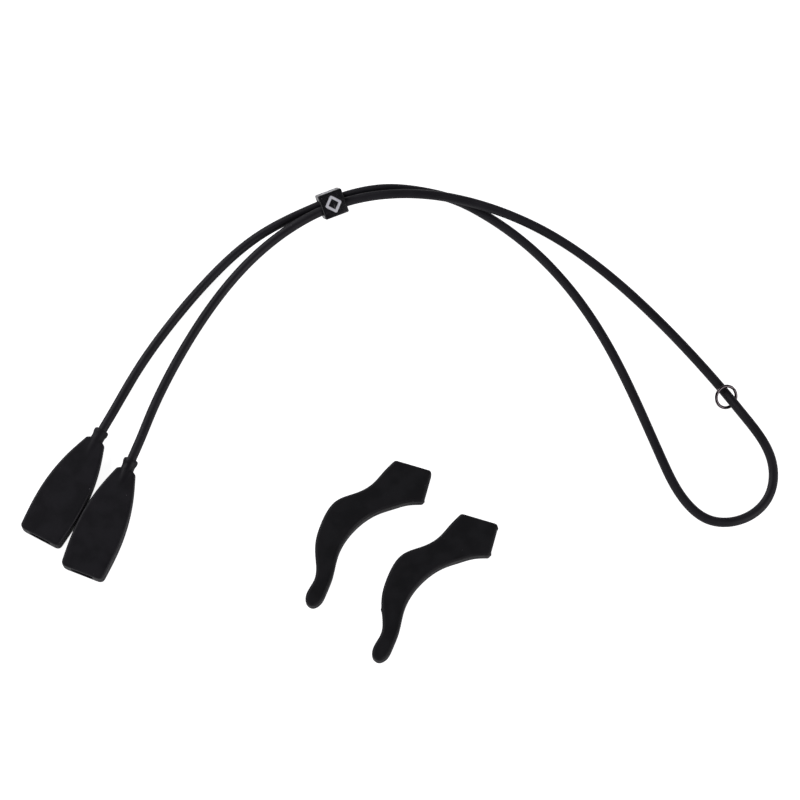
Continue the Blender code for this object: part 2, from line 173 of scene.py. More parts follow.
def arc_points(radius, height, turns):
    """Points on an arc about the bead's axis."""
    return [Vector((bead_axis.x, bead_axis.y, height)) + heading(turn) * radius for turn in turns]


far_arc = arc_points(NEAR_ARC_RADIUS + strand_level, bead_height - strand_upright / 2, ARC_TURNS)
near_arc = arc_points(NEAR_ARC_RADIUS, bead_height + strand_upright / 2, reversed(ARC_TURNS))
print("strands in the bead, level and upright spacing in mm:",
      round(strand_level / MM, 2), round(strand_upright / MM, 2))

# %% [markdown]
# ## Where the sockets lie
#
# The working model states a flat face beside each temple slot, with the way it faces. That is enough to
# place a socket: its mouth's middle is a known step to one side of that point, and its collar lies the
# socket's own length behind the mouth.

# %% Places of the two sockets
SIDES = ("left", "right")
SOCKET_LENGTH = 39.5 * MM        # from the collar's face to the mouth
MOUTH_POINT_ASIDE = 4.4 * MM     # from the mouth's middle to the stated point beside the slot


def place_from_mount(name, aside):
    """A frame with X out of the mouth, Z up and its origin in the middle of the mouth."""
    point, outward = mount(name)
    across = UP.cross(outward)
    axes = Matrix((outward, across, UP)).transposed().to_4x4()
    return Matrix.Translation(point + across * aside) @ axes


def socket_place(side):
    """A frame in the middle of a socket's collar, with X along the socket to its mouth and Z up."""
    mouth = place_from_mount(f"{side}_socket_mouth", -MOUTH_POINT_ASIDE)
    return mouth @ Matrix.Translation((-SOCKET_LENGTH, 0, 0))


socket_places = {side: socket_place(side) for side in SIDES}
for side, place in socket_places.items():
    print(side, "collar at", [round(x / MM, 1) for x in place.translation])

# %% [markdown]
# ## The cord as a skin
#
# A curve with a bevel would do for a plain cord. A skin of rings gives more: each point can remember how
# far along and how far round the cord it lies, and the material uses that to draw the fine lines that an
# extruder leaves. `skin` joins any rings of equal count into one closed body, so the same helper
# makes the cord, the ring, the sockets and the slots.

# %% Helpers for lines and skins
def spline_bends(points, gaps):
    """Second derivatives at the points of a natural cubic spline."""
    count = len(points)
    system = np.eye(count)
    load = np.zeros_like(points)
    for i in range(1, count - 1):
        before, after = gaps[i - 1], gaps[i]
        system[i, i - 1 : i + 2] = before, 2 * (before + after), after
        load[i] = 6 * ((points[i + 1] - points[i]) / after - (points[i] - points[i - 1]) / before)
    return np.linalg.solve(system, load)


def smooth_line(points, samples=40):
    """Many points along one natural cubic spline through the given points."""
    points = np.array(points, float)
    gaps = np.linalg.norm(np.diff(points, axis=0), axis=1)
    bends = spline_bends(points, gaps)
    line = []
    for i, gap in enumerate(gaps):
        start_slope = points[i] / gap - bends[i] * gap / 6
        end_slope = points[i + 1] / gap - bends[i + 1] * gap / 6
        for done in np.arange(samples) / samples * gap:
            left = gap - done
            bent = (bends[i] * left**3 + bends[i + 1] * done**3) / (6 * gap)
            line.append(bent + start_slope * left + end_slope * done)
    line.append(points[-1])
    return np.array(line)


def travelled(line):
    """Distance along a line at each of its points."""
    return np.concatenate(([0.0], np.cumsum(np.linalg.norm(np.diff(line, axis=0), axis=1))))


def even_points(line, count):
    """That many points at even distances along a line."""
    stops = np.linspace(0.0, travelled(line)[-1], count)
    return np.stack([np.interp(stops, travelled(line), axis) for axis in line.T], axis=1)


def bridge(shape, loop, following):
    """Joins two loops of points with a strip of faces."""
    for i in range(len(loop)):
        j = (i + 1) % len(loop)
        shape.faces.new((loop[i], loop[j], following[j], following[i]))


def skin(name, rings):
    """One closed body through rings of points, with a flat face on its first and on its last ring."""
    shape = bmesh.new()
    loops = [[shape.verts.new(point) for point in ring] for ring in rings]
    for loop, following in zip(loops, loops[1:]):
        bridge(shape, loop, following)
    shape.faces.new(loops[0])
    shape.faces.new(loops[-1])
    bmesh.ops.recalc_face_normals(shape, faces=shape.faces)
    return mesh_object(name, shape)


def mesh_object(name, shape):
    """Turns a bmesh into an object with smooth shading."""
    mesh = bpy.data.meshes.new(name)
    shape.to_mesh(mesh)
    shape.free()
    mesh.shade_smooth()
    made = bpy.data.objects.new(name, mesh)
    bpy.context.scene.collection.objects.link(made)
    return made


def remember(piece, name, kind, values):
    """Stores one value for each point of a piece, for its material to read."""
    stored = piece.data.attributes.new(name, kind, "POINT")
    field = "vector" if kind == "FLOAT_VECTOR" else "value"
    stored.data.foreach_set(field, np.asarray(values, np.float32).ravel())


def report(piece):
    """Prints what a piece came to."""
    size = [round(side / MM, 1) for side in piece.dimensions]
    print(f"{piece.name}: {len(piece.data.polygons)} faces, {size} mm")


# %% Tube along a line
WOBBLE_LENGTH = 9.0 * MM         # of the slow changes in a tube's radius


def tube(name, line, radius, around, wobble=0.0):
    """A round tube. Its rings never twist: each takes its upward direction from the ring before it."""
    ahead = np.gradient(line, axis=0)
    ahead /= np.linalg.norm(ahead, axis=1)[:, None]
    side = Vector(ahead[0]).orthogonal().normalized()
    rings, unrolled = [], []
    turns = [2 * math.pi * step / around for step in range(around)]
    for middle, forward, along in zip(line, ahead, travelled(line)):
        forward = Vector(forward)
        side = (side - forward * side.dot(forward)).normalized()
        over = forward.cross(side)
        ring_radius = radius + wobble * noise.noise(Vector((along / WOBBLE_LENGTH, 0.3, 0.7)))
        outward = [side * math.cos(turn) + over * math.sin(turn) for turn in turns]
        rings.append([Vector(middle) + way * ring_radius for way in outward])
        unrolled.extend((along, radius * math.cos(turn), radius * math.sin(turn)) for turn in turns)
    piece = skin(name, rings)
    remember(piece, "unrolled", "FLOAT_VECTOR", unrolled)
    return piece


# %% Cord
CORD_RING_STEP = 1.2 * MM
CORD_SIDES = 20
CORD_WOBBLE = 0.02 * MM          # how much the extruder's pull changes the radius


def cord_end(side):
    """The cord's three last points at a socket: in its neck, at its collar and straight out of it."""
    place = socket_places[side]
    drop = Vector((0, 0, -EXIT_DROP))
    return [
        place @ Vector((CORD_IN_SOCKET, 0, 0)),
        place @ Vector((-EXIT_GAP, 0, 0)),
        place @ Vector((-STRAIGHT_EXIT, 0, 0)) + drop,
    ]


cord_points = [
    *cord_end("left"), *LEFT_STRAND, *far_arc, *LOOP, *near_arc, *RIGHT_STRAND, *reversed(cord_end("right")),
]
cord_line = smooth_line(cord_points)
cord_line = even_points(cord_line, round(travelled(cord_line)[-1] / CORD_RING_STEP) + 1)
cord = tube("silicone_cord", cord_line, CORD_DIAMETER / 2, CORD_SIDES, CORD_WOBBLE)
report(cord)
print("cord length in mm:", round(travelled(cord_line)[-1] / MM, 1))

# %% [markdown]
# ## Temple sockets
#
# A socket is moulded silicone: a flat paddle with a slot for the arm of the glasses, and a round neck
# that grips the cord. It could be a box with bevels and cuts. But moulded rubber has no cuts: every
# face flows into the next. So one skin does it all. It starts deep in the neck's bore, comes out over the
# collar, widens from a round neck into the flat paddle, turns in at the mouth and runs back into the
# slot. Each ring has the same count of points, and they crowd together where the section turns.

# %% Sizes of a socket
SOCKET_THICKNESS = 5.5 * MM
SOCKET_NECK_THICKNESS = 3.4 * MM     # of the paddle where it meets the neck
SHOULDER = 3.6 * MM              # length of the collar and neck
SHOULDER_CORNER = 0.8 * MM
MOUTH_CORNER = 1.4 * MM
PADDLE_EDGE = 0.75 * MM          # rounding along the paddle's long edges
MOUTH_EDGE = 0.5 * MM            # rounding round the mouth
HALF_WIDTHS = (                  # share of the paddle's length from the shoulder, half width there
    (0.0, 2.9 * MM), (0.21, 5.4 * MM), (0.45, 7.1 * MM), (0.68, 7.6 * MM), (1.0, 6.9 * MM),
)
FULL_THICKNESS_AT = 0.6          # share of the paddle's length where the taper ends
NECK_RADIUS = 2.1 * MM
RIDGE_LENGTH = 12.4 * MM         # the neck runs on inside the paddle as a tapering ridge
RIDGE_TIP_RADIUS = 1.6 * MM
RIDGE_BLEND = 0.25 * MM          # how softly the ridge meets the paddle
RIDGE_FADE = 4.0 * MM            # the stretch over which the ridge sinks into the paddle at its tip
RIDGE_END = RIDGE_LENGTH + RIDGE_FADE / 2
SLOT_WIDTH, SLOT_HEIGHT, SLOT_DEPTH = 7.3 * MM, 3.3 * MM, 22.0 * MM
SLOT_LIP = 0.22 * MM             # rounding of the slot's edge
FLASH = 0.07 * MM                # the thin fin where the two halves of the mould met
PADDLE_LENGTH = SOCKET_LENGTH - SHOULDER
ROUNDEST = 0.95                  # share of a half side that a corner may take
CORNER_STEPS, WIDE_STEPS, SIDE_STEPS = 6, 22, 3
RING_COUNT = 4 * (CORNER_STEPS + SIDE_STEPS) + 2 * WIDE_STEPS


# %% Sections of a socket
def oblong(half_width, half_height, corner):
    """A rounded rectangle of RING_COUNT points, anticlockwise from the middle of its right side."""
    corner = min(corner, ROUNDEST * half_height, ROUNDEST * half_width)
    wide, high = half_width - corner, half_height - corner
    outline = [(half_width, i * FLASH) for i in range(SIDE_STEPS)]
    for side, first_turn in ((1, 0), (-1, 90)):
        for step in range(CORNER_STEPS):
            turn = math.radians(first_turn + 90 * step / CORNER_STEPS)
            outline.append((side * wide + corner * math.cos(turn), high + corner * math.sin(turn)))
        if side == 1:
            outline.extend((wide - 2 * wide * i / WIDE_STEPS, half_height) for i in range(WIDE_STEPS))
    outline.append((-half_width, high))
    outline.extend((-half_width, i * FLASH) for i in range(SIDE_STEPS - 1, 0, -1))
    return outline + [(-y, -z) for y, z in outline]


def circle(radius):
    """A circle with the same count of points."""
    turns = [2 * math.pi * i / RING_COUNT for i in range(RING_COUNT)]
    return [(radius * math.cos(turn), radius * math.sin(turn)) for turn in turns]


def blended(first, second, share):
    """A ring part of the way from one outline to another."""
    return [tuple(a + (b - a) * share for a, b in zip(p, q)) for p, q in zip(first, second)]


def rounded_corner(from_end, radius):
    """How far a round corner has cut the side back, at a distance from the end."""
    if from_end >= radius:
        return 0.0
    return radius - math.sqrt(radius**2 - (radius - max(from_end, 0.0)) ** 2)


def ease(share):
    """Rises from 0 to 1 with a level start and a level end."""
    share = min(max(share, 0.0), 1.0)
    return share * share * (3 - 2 * share)


def softly_higher(a, b, blend):
    """The higher of two heights, with a soft change from one to the other."""
    return (a + b + math.sqrt((a - b) ** 2 + blend**2)) / 2


width_line = smooth_line(HALF_WIDTHS).T


def paddle_ring(from_shoulder):
    """The paddle's outline at a distance from its shoulder."""
    share = from_shoulder / PADDLE_LENGTH
    from_mouth = PADDLE_LENGTH - from_shoulder
    swell = ease(share / FULL_THICKNESS_AT)
    half_height = (SOCKET_NECK_THICKNESS + (SOCKET_THICKNESS - SOCKET_NECK_THICKNESS) * swell) / 2
    half_width = np.interp(share, *width_line)
    half_width -= rounded_corner(from_shoulder, SHOULDER_CORNER) + rounded_corner(from_mouth, MOUTH_CORNER)
    half_height -= rounded_corner(from_mouth, MOUTH_EDGE)
    ridge = NECK_RADIUS + (RIDGE_TIP_RADIUS - NECK_RADIUS) * min(from_shoulder / RIDGE_LENGTH, 1.0)
    outline = []
    for y, z in oblong(half_width, half_height, PADDLE_EDGE):
        if abs(y) < ridge and from_shoulder < RIDGE_END:
            over = math.sqrt(ridge**2 - y**2)
            fade = ease((RIDGE_END - from_shoulder) / RIDGE_FADE)
            lifted = softly_higher(abs(z), over, RIDGE_BLEND) - RIDGE_BLEND / 2
            z += math.copysign(max(lifted - abs(z), 0.0) * fade, z)
        elif abs(z) < 1e-7:          # where the two halves of the mould met
            y += math.copysign(FLASH, y)
        outline.append((y, z))
    return outline


# %% Ends of a socket
NECK_PROFILE = (                 # distance from the collar's face and radius there, both in millimetres
    (2.9, 1.0), (2.9, 1.52), (0.15, 1.52), (0.0, 1.64),                     # the bore, from its floor out
    (0.0, 1.85), (0.04, 2.03), (0.15, 2.2), (0.32, 2.31), (0.5, 2.35),      # the collar's face and its edge
    (0.95, 2.38), (1.3, 2.35), (1.6, 2.27), (1.95, 2.15),                   # the collar
    (2.4, 2.1), (3.0, 2.1),                                                 # the neck
)
SHOULDER_STEPS = (0.0, 0.06, 0.18, 0.36, 0.6, 0.9, 1.3)     # millimetres behind the neck
NECK_BLEND = 1.3                 # millimetres over which the round neck turns into the flat paddle
NECK_BLEND_LEAD = 0.5            # how many of them lie before the shoulder
MOUTH_TURNS = np.radians((15, 30, 42, 52, 61, 69, 76, 83, 90))
LIP_TURNS = np.radians((0, 30, 60, 90))
SLOT_NARROWING = (               # share of the slot's depth, and how much tighter the slot is there
    (0.3, 0.0), (0.97, 0.1 * MM), (1.0, 0.5 * MM),
)


def neck_sections():
    """The floor of the bore, its wall, the collar's face, the collar and the neck."""
    return [(x * MM, circle(radius * MM)) for x, radius in NECK_PROFILE]


def shoulder_sections():
    """From the round neck to the flat paddle."""
    neck = circle(NECK_RADIUS)
    sections = []
    for x in SHOULDER_STEPS:
        share = ease((x + NECK_BLEND_LEAD) / NECK_BLEND)
        sections.append((SHOULDER + x * MM, blended(neck, paddle_ring(x * MM), share)))
    return sections


def mouth_sections():
    """Round the mouth's corners, over the slot's lip and down to the slot's floor."""
    sections = []
    for turn in MOUTH_TURNS:
        from_mouth = MOUTH_CORNER * (1 - math.sin(turn))
        sections.append((SOCKET_LENGTH - from_mouth, paddle_ring(PADDLE_LENGTH - from_mouth)))
    for turn in LIP_TURNS:
        grown = SLOT_LIP * (1 - math.sin(turn))
        x = SOCKET_LENGTH - SLOT_LIP * (1 - math.cos(turn))
        sections.append((x, oblong(SLOT_WIDTH / 2 + grown, SLOT_HEIGHT / 2 + grown, SLOT_HEIGHT / 3)))
    for depth, tighter in SLOT_NARROWING:
        outline = oblong(SLOT_WIDTH / 2 - tighter, SLOT_HEIGHT / 2 - tighter, SLOT_HEIGHT / 3)
        sections.append((SOCKET_LENGTH - depth * SLOT_DEPTH, outline))
    return sections


# %% Sockets
LIP_UNEVENNESS = 0.05 * MM       # rubber trimmed at the mouth is never quite even
LIP_WAVE = 0.9 * MM              # size of that unevenness along the lip
PADDLE_START = 1.8 * MM          # behind the shoulder, where the plain stretch of the paddle begins
PADDLE_RINGS = 34
RUBBER_WEAR_AND_RIM_RADIUS = 0.45 * MM   # an edge of rubber as tight as this is rubbed the most and gets the full painted rim highlight


def trim_unevenly(piece):
    """Moves the rubber round the slot's mouth a little, in and out."""
    for point in piece.data.vertices:
        from_mouth = SOCKET_LENGTH - point.co.x
        near_slot = abs(point.co.z) < SLOT_HEIGHT / 2 + 2 * SLOT_LIP
        if from_mouth < SLOT_LIP and near_slot:
            waviness = noise.noise_vector(point.co / LIP_WAVE)
            point.co += Vector((-abs(waviness.x), waviness.y, waviness.z)) * LIP_UNEVENNESS


def mark_edges(piece, radius):
    """Stores how tightly a piece bends out at each point: 1 where its edge is as tight as the radius."""
    shape = bmesh.new()
    shape.from_mesh(piece.data)
    tightness = []
    for point in shape.verts:
        tightest = 0.0
        for edge in point.link_edges:
            step = edge.other_vert(point).co - point.co
            turned = edge.other_vert(point).normal - point.normal
            tightest = max(tightest, turned.dot(step) / max(step.length_squared, 1e-12))
        tightness.append(min(tightest * radius, 1.0))
    shape.free()
    remember(piece, "edge", "FLOAT", tightness)


def make_socket(side):
    """A temple socket, from the floor of its bore to the floor of its slot, in its place."""
    stops = np.linspace(PADDLE_START, PADDLE_LENGTH - MOUTH_CORNER, PADDLE_RINGS)
    middle = [(SHOULDER + x, paddle_ring(x)) for x in stops]
    sections = neck_sections() + shoulder_sections() + middle + mouth_sections()
    rings = [[(x, y, z) for y, z in outline] for x, outline in sections]
    socket = skin(f"{side}_temple_socket", rings)
    trim_unevenly(socket)
    mark_edges(socket, RUBBER_WEAR_AND_RIM_RADIUS)
    socket.data.transform(socket_places[side])
    report(socket)
    return socket


sockets = {side: make_socket(side) for side in socket_places}

# %% [markdown]
# ## Ear hooks
#
# An ear hook is a flat moulded shape: a five-sided head with a slot through it for the arm of the
# glasses, and a curved tail that sits behind the ear. Its outline could be filled with one big
# face and extruded, but such a face shades badly. Here the outline has four sides: the end face, the
# outer side, the tip and the inner side. A Coons patch fills four sides with a clean grid: each inner
# point is the sum of what the two pairs of opposite sides say, less what the corners say twice.

# %% Sizes of a hook
HOOK_THICKNESS = 5.3 * MM
HOOK_EDGE = 0.95 * MM
HOOK_CORNER = 1.1 * MM
HOOK_SLOT_WIDTH, HOOK_SLOT_HEIGHT = 5.6 * MM, 2.7 * MM
HOOK_SLOT_REACH = 18.0 * MM      # the slot's cutter passes right through the head
HOOK_POINT_ASIDE = 3.5 * MM      # from the mouth's middle to the stated point beside the slot
HEAD_TOP, HEAD_BOTTOM = (0.0, 5.1 * MM), (0.0, -5.3 * MM)
HEAD_BACK = (-12.1 * MM, 5.4 * MM)
HOOK_CURVE = (                   # from the head's lower corner round the tip to its back corner
    HEAD_BOTTOM, (-5.0 * MM, -7.0 * MM), (-8.6 * MM, -9.2 * MM), (-12.8 * MM, -12.1 * MM),
    (-18.5 * MM, -19.3 * MM), (-21.1 * MM, -28.0 * MM), (-20.9 * MM, -36.0 * MM), (-21.4 * MM, -41.0 * MM),
    (-22.6 * MM, -45.1 * MM), (-24.6 * MM, -46.4 * MM), (-26.5 * MM, -45.6 * MM), (-27.2 * MM, -43.4 * MM),
    (-26.1 * MM, -38.1 * MM), (-28.6 * MM, -28.3 * MM), (-28.9 * MM, -20.0 * MM), (-26.2 * MM, -11.9 * MM),
    (-20.7 * MM, -7.7 * MM), (-16.8 * MM, -3.6 * MM), (-14.6 * MM, 0.9 * MM), HEAD_BACK,
)
END_STEPS = 22                   # faces across the hook
SIDE_COUNT = 150                 # faces along each of its sides
TIP_REACH = 30                   # points of the curve on each side of the tip that belong to the tip
LEAVING, ARRIVING = 25, -12      # points of the curve that give its direction at the head's two corners
PAST_CORNER = 0.3 * MM           # the curve takes over this far past a round corner
FILLET_STEPS = 6

hook_places = {side: place_from_mount(f"{side}_hook_mouth", HOOK_POINT_ASIDE) for side in SIDES}
for side, place in hook_places.items():
    print(side, "hook's mouth at", [round(x / MM, 1) for x in place.translation])


# %% Outline of a hook
def fillet(before, corner, after, radius):
    """Points of a round corner between two straight lines."""
    before, corner, after = Vector(before), Vector(corner), Vector(after)
    first, second = (before - corner).normalized(), (after - corner).normalized()
    half = first.angle(second) / 2
    middle = corner + (first + second).normalized() * radius / math.sin(half)
    start = corner + first * radius / math.tan(half)
    end = corner + second * radius / math.tan(half)
    sweep = math.pi - 2 * half
    rounded = []
    for step in range(FILLET_STEPS + 1):
        share = step / FILLET_STEPS
        from_start = (start - middle) * math.sin((1 - share) * sweep) / math.sin(sweep)
        rounded.append(middle + from_start + (end - middle) * math.sin(share * sweep) / math.sin(sweep))
    return rounded


def hook_outline():
    """The hook's four sides in plan: its end face, its inner side, its tip and its outer side."""
    curve = [Vector(point) for point in smooth_line(HOOK_CURVE)]
    low = fillet(HEAD_TOP, HEAD_BOTTOM, curve[LEAVING], HOOK_CORNER)
    high = fillet(HEAD_BACK, HEAD_TOP, HEAD_BOTTOM, HOOK_CORNER)
    rear = fillet(curve[ARRIVING], HEAD_BACK, HEAD_TOP, HOOK_CORNER)
    tip = curve.index(min(curve, key=lambda point: point.y))
    half_low, half_high = len(low) // 2, len(high) // 2
    end_face = high[half_high:] + low[: half_low + 1]
    past_low = next(i for i, point in enumerate(curve) if point.x < low[-1].x - PAST_CORNER)
    before_rear = max(i for i, point in enumerate(curve) if point.y < rear[0].y - PAST_CORNER and i > tip)
    inner = low[half_low:] + curve[past_low : tip - TIP_REACH + 1]
    tip_side = curve[tip - TIP_REACH : tip + TIP_REACH + 1]
    outer = curve[tip + TIP_REACH : before_rear + 1] + rear + high[: half_high + 1]
    return end_face, inner, tip_side, outer


def resampled(side, count):
    """A side of the outline with its points spread evenly."""
    return [Vector(point) for point in even_points(np.array([(p.x, p.y) for p in side]), count + 1)]


end_face, inner, tip_side, outer = hook_outline()
hook_loop = (
    resampled(end_face, END_STEPS)[:-1] + resampled(inner, SIDE_COUNT)[:-1]
    + resampled(tip_side, END_STEPS)[:-1] + resampled(outer, SIDE_COUNT)[:-1]
)
print("points round the hook:", len(hook_loop))


# %% [markdown]
# The body of the hook is a stack of loops. Each loop is the outline drawn in by as much as the round
# edge needs at that height, and the two patches close it above and below. In the middle of the wall runs
# a thin fin of flash, where the two halves of the mould met, with small nibs where it was torn off.

# %% Body of a hook
EDGE_TURNS = np.radians((0, 15, 30, 45, 60, 75, 90))
FLASH_NIBS = {                   # share of the way round from the head's top corner, height
    "left": ((0.995, 0.22 * MM), (0.062, 0.3 * MM), (0.075, 0.16 * MM), (0.21, 0.14 * MM)),
    "right": (
        (0.957, 0.34 * MM), (0.004, 0.22 * MM), (0.06, 0.26 * MM), (0.665, 0.24 * MM), (0.85, 0.16 * MM),
    ),
}
NIB_HALF_WIDTH = 0.0035          # as a share of the way round
FLASH_MEAN, FLASH_RAGGED = 0.7, 0.5      # shares of the fin's full height: its mean, and how far it varies
FLASH_WAVES = 60                 # ups and downs of the fin round the hook


def outward_normals(loop):
    """The outward unit normals of a loop of points that runs round the hook clockwise."""
    normals = []
    for i, point in enumerate(loop):
        ahead = loop[(i + 1) % len(loop)] - loop[i - 1]
        normals.append(Vector((-ahead.y, ahead.x)).normalized())
    return normals


def flash_height(side, share):
    """How far the mould's fin stands out, at a share of the way round."""
    height = FLASH * (FLASH_MEAN + FLASH_RAGGED * noise.noise(Vector((share * FLASH_WAVES, 0.5, 0.5))))
    for place, nib in FLASH_NIBS[side]:
        away = abs((share - place + 0.5) % 1.0 - 0.5)
        height += nib * math.exp(-((away / NIB_HALF_WIDTH) ** 2))
    return height


def wall_levels(side):
    """The loops of a hook from its underside to its top, each with a height."""
    normals = outward_normals(hook_loop)
    half = HOOK_THICKNESS / 2
    low = []
    for turn in EDGE_TURNS:
        low.append((HOOK_EDGE * (1 - math.sin(turn)), HOOK_EDGE * (1 - math.cos(turn)) - half))
    levels = low + [(0.0, -2 * FLASH), (0.0, -FLASH), (None, 0.0), (0.0, FLASH), (0.0, 2 * FLASH)]
    levels += [(inset, -height) for inset, height in reversed(low)]
    loops = []
    for inset, height in levels:
        ring = []
        for i, (point, normal) in enumerate(zip(hook_loop, normals)):
            moved = point + normal * (flash_height(side, i / len(hook_loop)) if inset is None else -inset)
            ring.append((moved.x, moved.y, height))
        loops.append(ring)
    return loops


def fill_patch(shape, ring):
    """Closes the hook's top or underside with a Coons patch. ring holds the points of its edge."""
    across, along = END_STEPS, SIDE_COUNT
    face_end = ring[: across + 1]
    inner_side = ring[across : across + along + 1]
    tip_end = ring[across + along : 2 * across + along + 1][::-1]
    outer_side = (ring[2 * across + along :] + ring[:1])[::-1]
    grid = [face_end]
    for row in range(1, along):
        v = row / along
        points = [outer_side[row]]
        for column in range(1, across):
            u = column / across
            ends = face_end[column].co * (1 - v) + tip_end[column].co * v
            sides = outer_side[row].co * (1 - u) + inner_side[row].co * u
            corners = (face_end[0].co * (1 - u) + face_end[-1].co * u) * (1 - v)
            corners += (tip_end[0].co * (1 - u) + tip_end[-1].co * u) * v
            points.append(shape.verts.new(ends + sides - corners))
        grid.append(points + [inner_side[row]])
    grid.append(tip_end)
    for row, following in zip(grid, grid[1:]):
        for i in range(across):
            shape.faces.new((row[i], row[i + 1], following[i + 1], following[i]))


def hook_body(side):
    """A hook without its slot, lying flat round its own middle level."""
    shape = bmesh.new()
    rings = [[shape.verts.new(point) for point in ring] for ring in wall_levels(side)]
    for ring, following in zip(rings, rings[1:]):
        bridge(shape, ring, following)
    fill_patch(shape, rings[0])
    fill_patch(shape, rings[-1])
    bmesh.ops.recalc_face_normals(shape, faces=shape.faces)
    return mesh_object(f"{side}_ear_hook", shape)


# %% [markdown]
# The slot is cut with a Boolean, because it comes out through the curved back of the head. Its cutter
# flares at the mouth like a trumpet, which leaves a round lip there, as in the sockets.

# %% Hooks
CUTTER_REACH = 1.0 * MM          # how far a cutter stands out of the piece that it cuts
FLARE_TURNS = np.radians((0, 22, 45, 67, 90))
SHARP_EDGE = math.radians(38)


def carve(piece, cutter):
    """Cuts one piece out of another for good."""
    boolean = piece.modifiers.new("cut", "BOOLEAN")
    boolean.operation = "DIFFERENCE"
    boolean.solver = "EXACT"
    boolean.object = cutter
    bpy.context.view_layer.update()
    result = piece.evaluated_get(bpy.context.evaluated_depsgraph_get())
    carved = bpy.data.meshes.new_from_object(result)
    piece.modifiers.clear()
    piece.data = carved
    bpy.data.objects.remove(cutter, do_unlink=True)


def trumpet(name, outline_at, mouth, floor, lip, both_ends=False):
    """A cutter along X that widens by its lip at the mouth. outline_at(grown) gives its outline."""
    sections = [(mouth + CUTTER_REACH, outline_at(lip))]
    for turn in FLARE_TURNS:
        sections.append((mouth - lip * (1 - math.cos(turn)), outline_at(lip * (1 - math.sin(turn)))))
    if both_ends:
        sections += [(mouth + floor - x, outline) for x, outline in reversed(sections)]
    else:
        sections.append((floor, outline_at(0.0)))
    return skin(name, [[(x, y, z) for y, z in outline] for x, outline in sections])


def hook_slot_outline(grown):
    """The outline of a hook's slot, grown all round."""
    return oblong(HOOK_SLOT_WIDTH / 2 + grown, HOOK_SLOT_HEIGHT / 2 + grown, HOOK_SLOT_HEIGHT / 3)


def make_hook(side):
    """An ear hook in its place."""
    hook = hook_body(side)
    carve(hook, trumpet("slot_cutter", hook_slot_outline, 0.0, -HOOK_SLOT_REACH, SLOT_LIP))
    hook.data.set_sharp_from_angle(angle=SHARP_EDGE)
    mark_edges(hook, RUBBER_WEAR_AND_RIM_RADIUS)
    hook.data.transform(hook_places[side])
    report(hook)
    return hook


hooks = {side: make_hook(side) for side in hook_places}

# %% [markdown]
# ## Adjuster bead
#
# The bead is a small cube of polished black acrylic on both strands. Pulled along, it sets how tight the
# strap sits. Its tunnel has round ends, because two round strands lie in it side by side. Each of its
# four long faces carries an engraved diamond outline filled with silver enamel. A cube with a Bevel
# modifier would shade well, but here the bevel is made once in bmesh, before the tunnel and the
# grooves are cut, so that those cuts don't get the cube's wide rounding.

# %% Bead
BEAD_SIZE = 8.0 * MM
BEAD_EDGE = 0.5 * MM
BEAD_ROLL = math.radians(24.0)
BEAD_EDGE_STEPS = 6
RUNNING_CLEARANCE = 0.45 * MM    # round each strand
TUNNEL_LIP = 0.2 * MM
TUNNEL_POINTS = 48
MARK_HALF_LENGTH, MARK_HALF_WIDTH = 2.9 * MM, 3.1 * MM   # of the diamond, along the cord and across it
MARK_STROKE = 0.9 * MM
MARK_CORNER = 0.15 * MM          # rounding of the stroke's middle line
SHARPEST = 0.04 * MM             # the tightest corner on the stroke's edges
MARK_DEPTH = 0.4 * MM
MARK_CHAMFER = 0.06 * MM         # where the groove meets the face
MARK_SLACK = 0.05 * MM           # between the groove's walls and the enamel in it
MARK_SIDES = (("top", 0), ("near", 90), ("bottom", 180), ("far", 270))
STROKE_STEPS = 10                # faces along each of the diamond's sides
UNEVENNESS_SIZE = 0.7 * MM       # of the waver in a hand-filled stroke
ACRYLIC_WEAR_RADIUS = 0.4 * MM


def bead_place():
    """The bead's own frame: X along the cord, Z out of its top face."""
    outward = heading(BEAD_TURN)
    middle = Vector((bead_axis.x, bead_axis.y, bead_height)) + outward * (NEAR_ARC_RADIUS + strand_level / 2)
    along = -UP.cross(outward)
    top = UP * math.cos(BEAD_ROLL) - outward * math.sin(BEAD_ROLL)
    axes = Matrix((along, top.cross(along), top)).transposed().to_4x4()
    return Matrix.Translation(middle) @ axes


def tunnel_outline(grown):
    """Two half circles and the straight sides between them, leant over as the strands lie."""
    radius = CORD_DIAMETER / 2 + RUNNING_CLEARANCE + grown
    apart = (CORD_DIAMETER + STRAND_GAP) / 2
    lean = STRAND_PAIR_LEAN - BEAD_ROLL
    outline = []
    for step in range(TUNNEL_POINTS):
        turn = 2 * math.pi * (step + 0.5) / TUNNEL_POINTS
        y, z = radius * math.cos(turn), radius * math.sin(turn) + math.copysign(apart, math.sin(turn))
        outline.append((y * math.cos(lean) - z * math.sin(lean), y * math.sin(lean) + z * math.cos(lean)))
    return outline


def diamond_loop(offset):
    """The diamond's outline with round corners, moved out by an offset from the stroke's outer edge."""
    slant = math.hypot(MARK_HALF_LENGTH, MARK_HALF_WIDTH)
    share = 1 + offset * slant / (MARK_HALF_LENGTH * MARK_HALF_WIDTH)
    long, wide = MARK_HALF_LENGTH * share, MARK_HALF_WIDTH * share
    corners = ((long, 0), (0, wide), (-long, 0), (0, -wide))
    radius = max(MARK_CORNER + MARK_STROKE / 2 + offset, SHARPEST)
    loop = []
    for i, corner in enumerate(corners):
        rounded = fillet(corners[i - 1], corner, corners[(i + 1) % 4], radius)
        if loop:
            loop += [loop[-1].lerp(rounded[0], step / STROKE_STEPS) for step in range(1, STROKE_STEPS)]
        loop += rounded
    loop += [loop[-1].lerp(loop[0], step / STROKE_STEPS) for step in range(1, STROKE_STEPS)]
    return loop


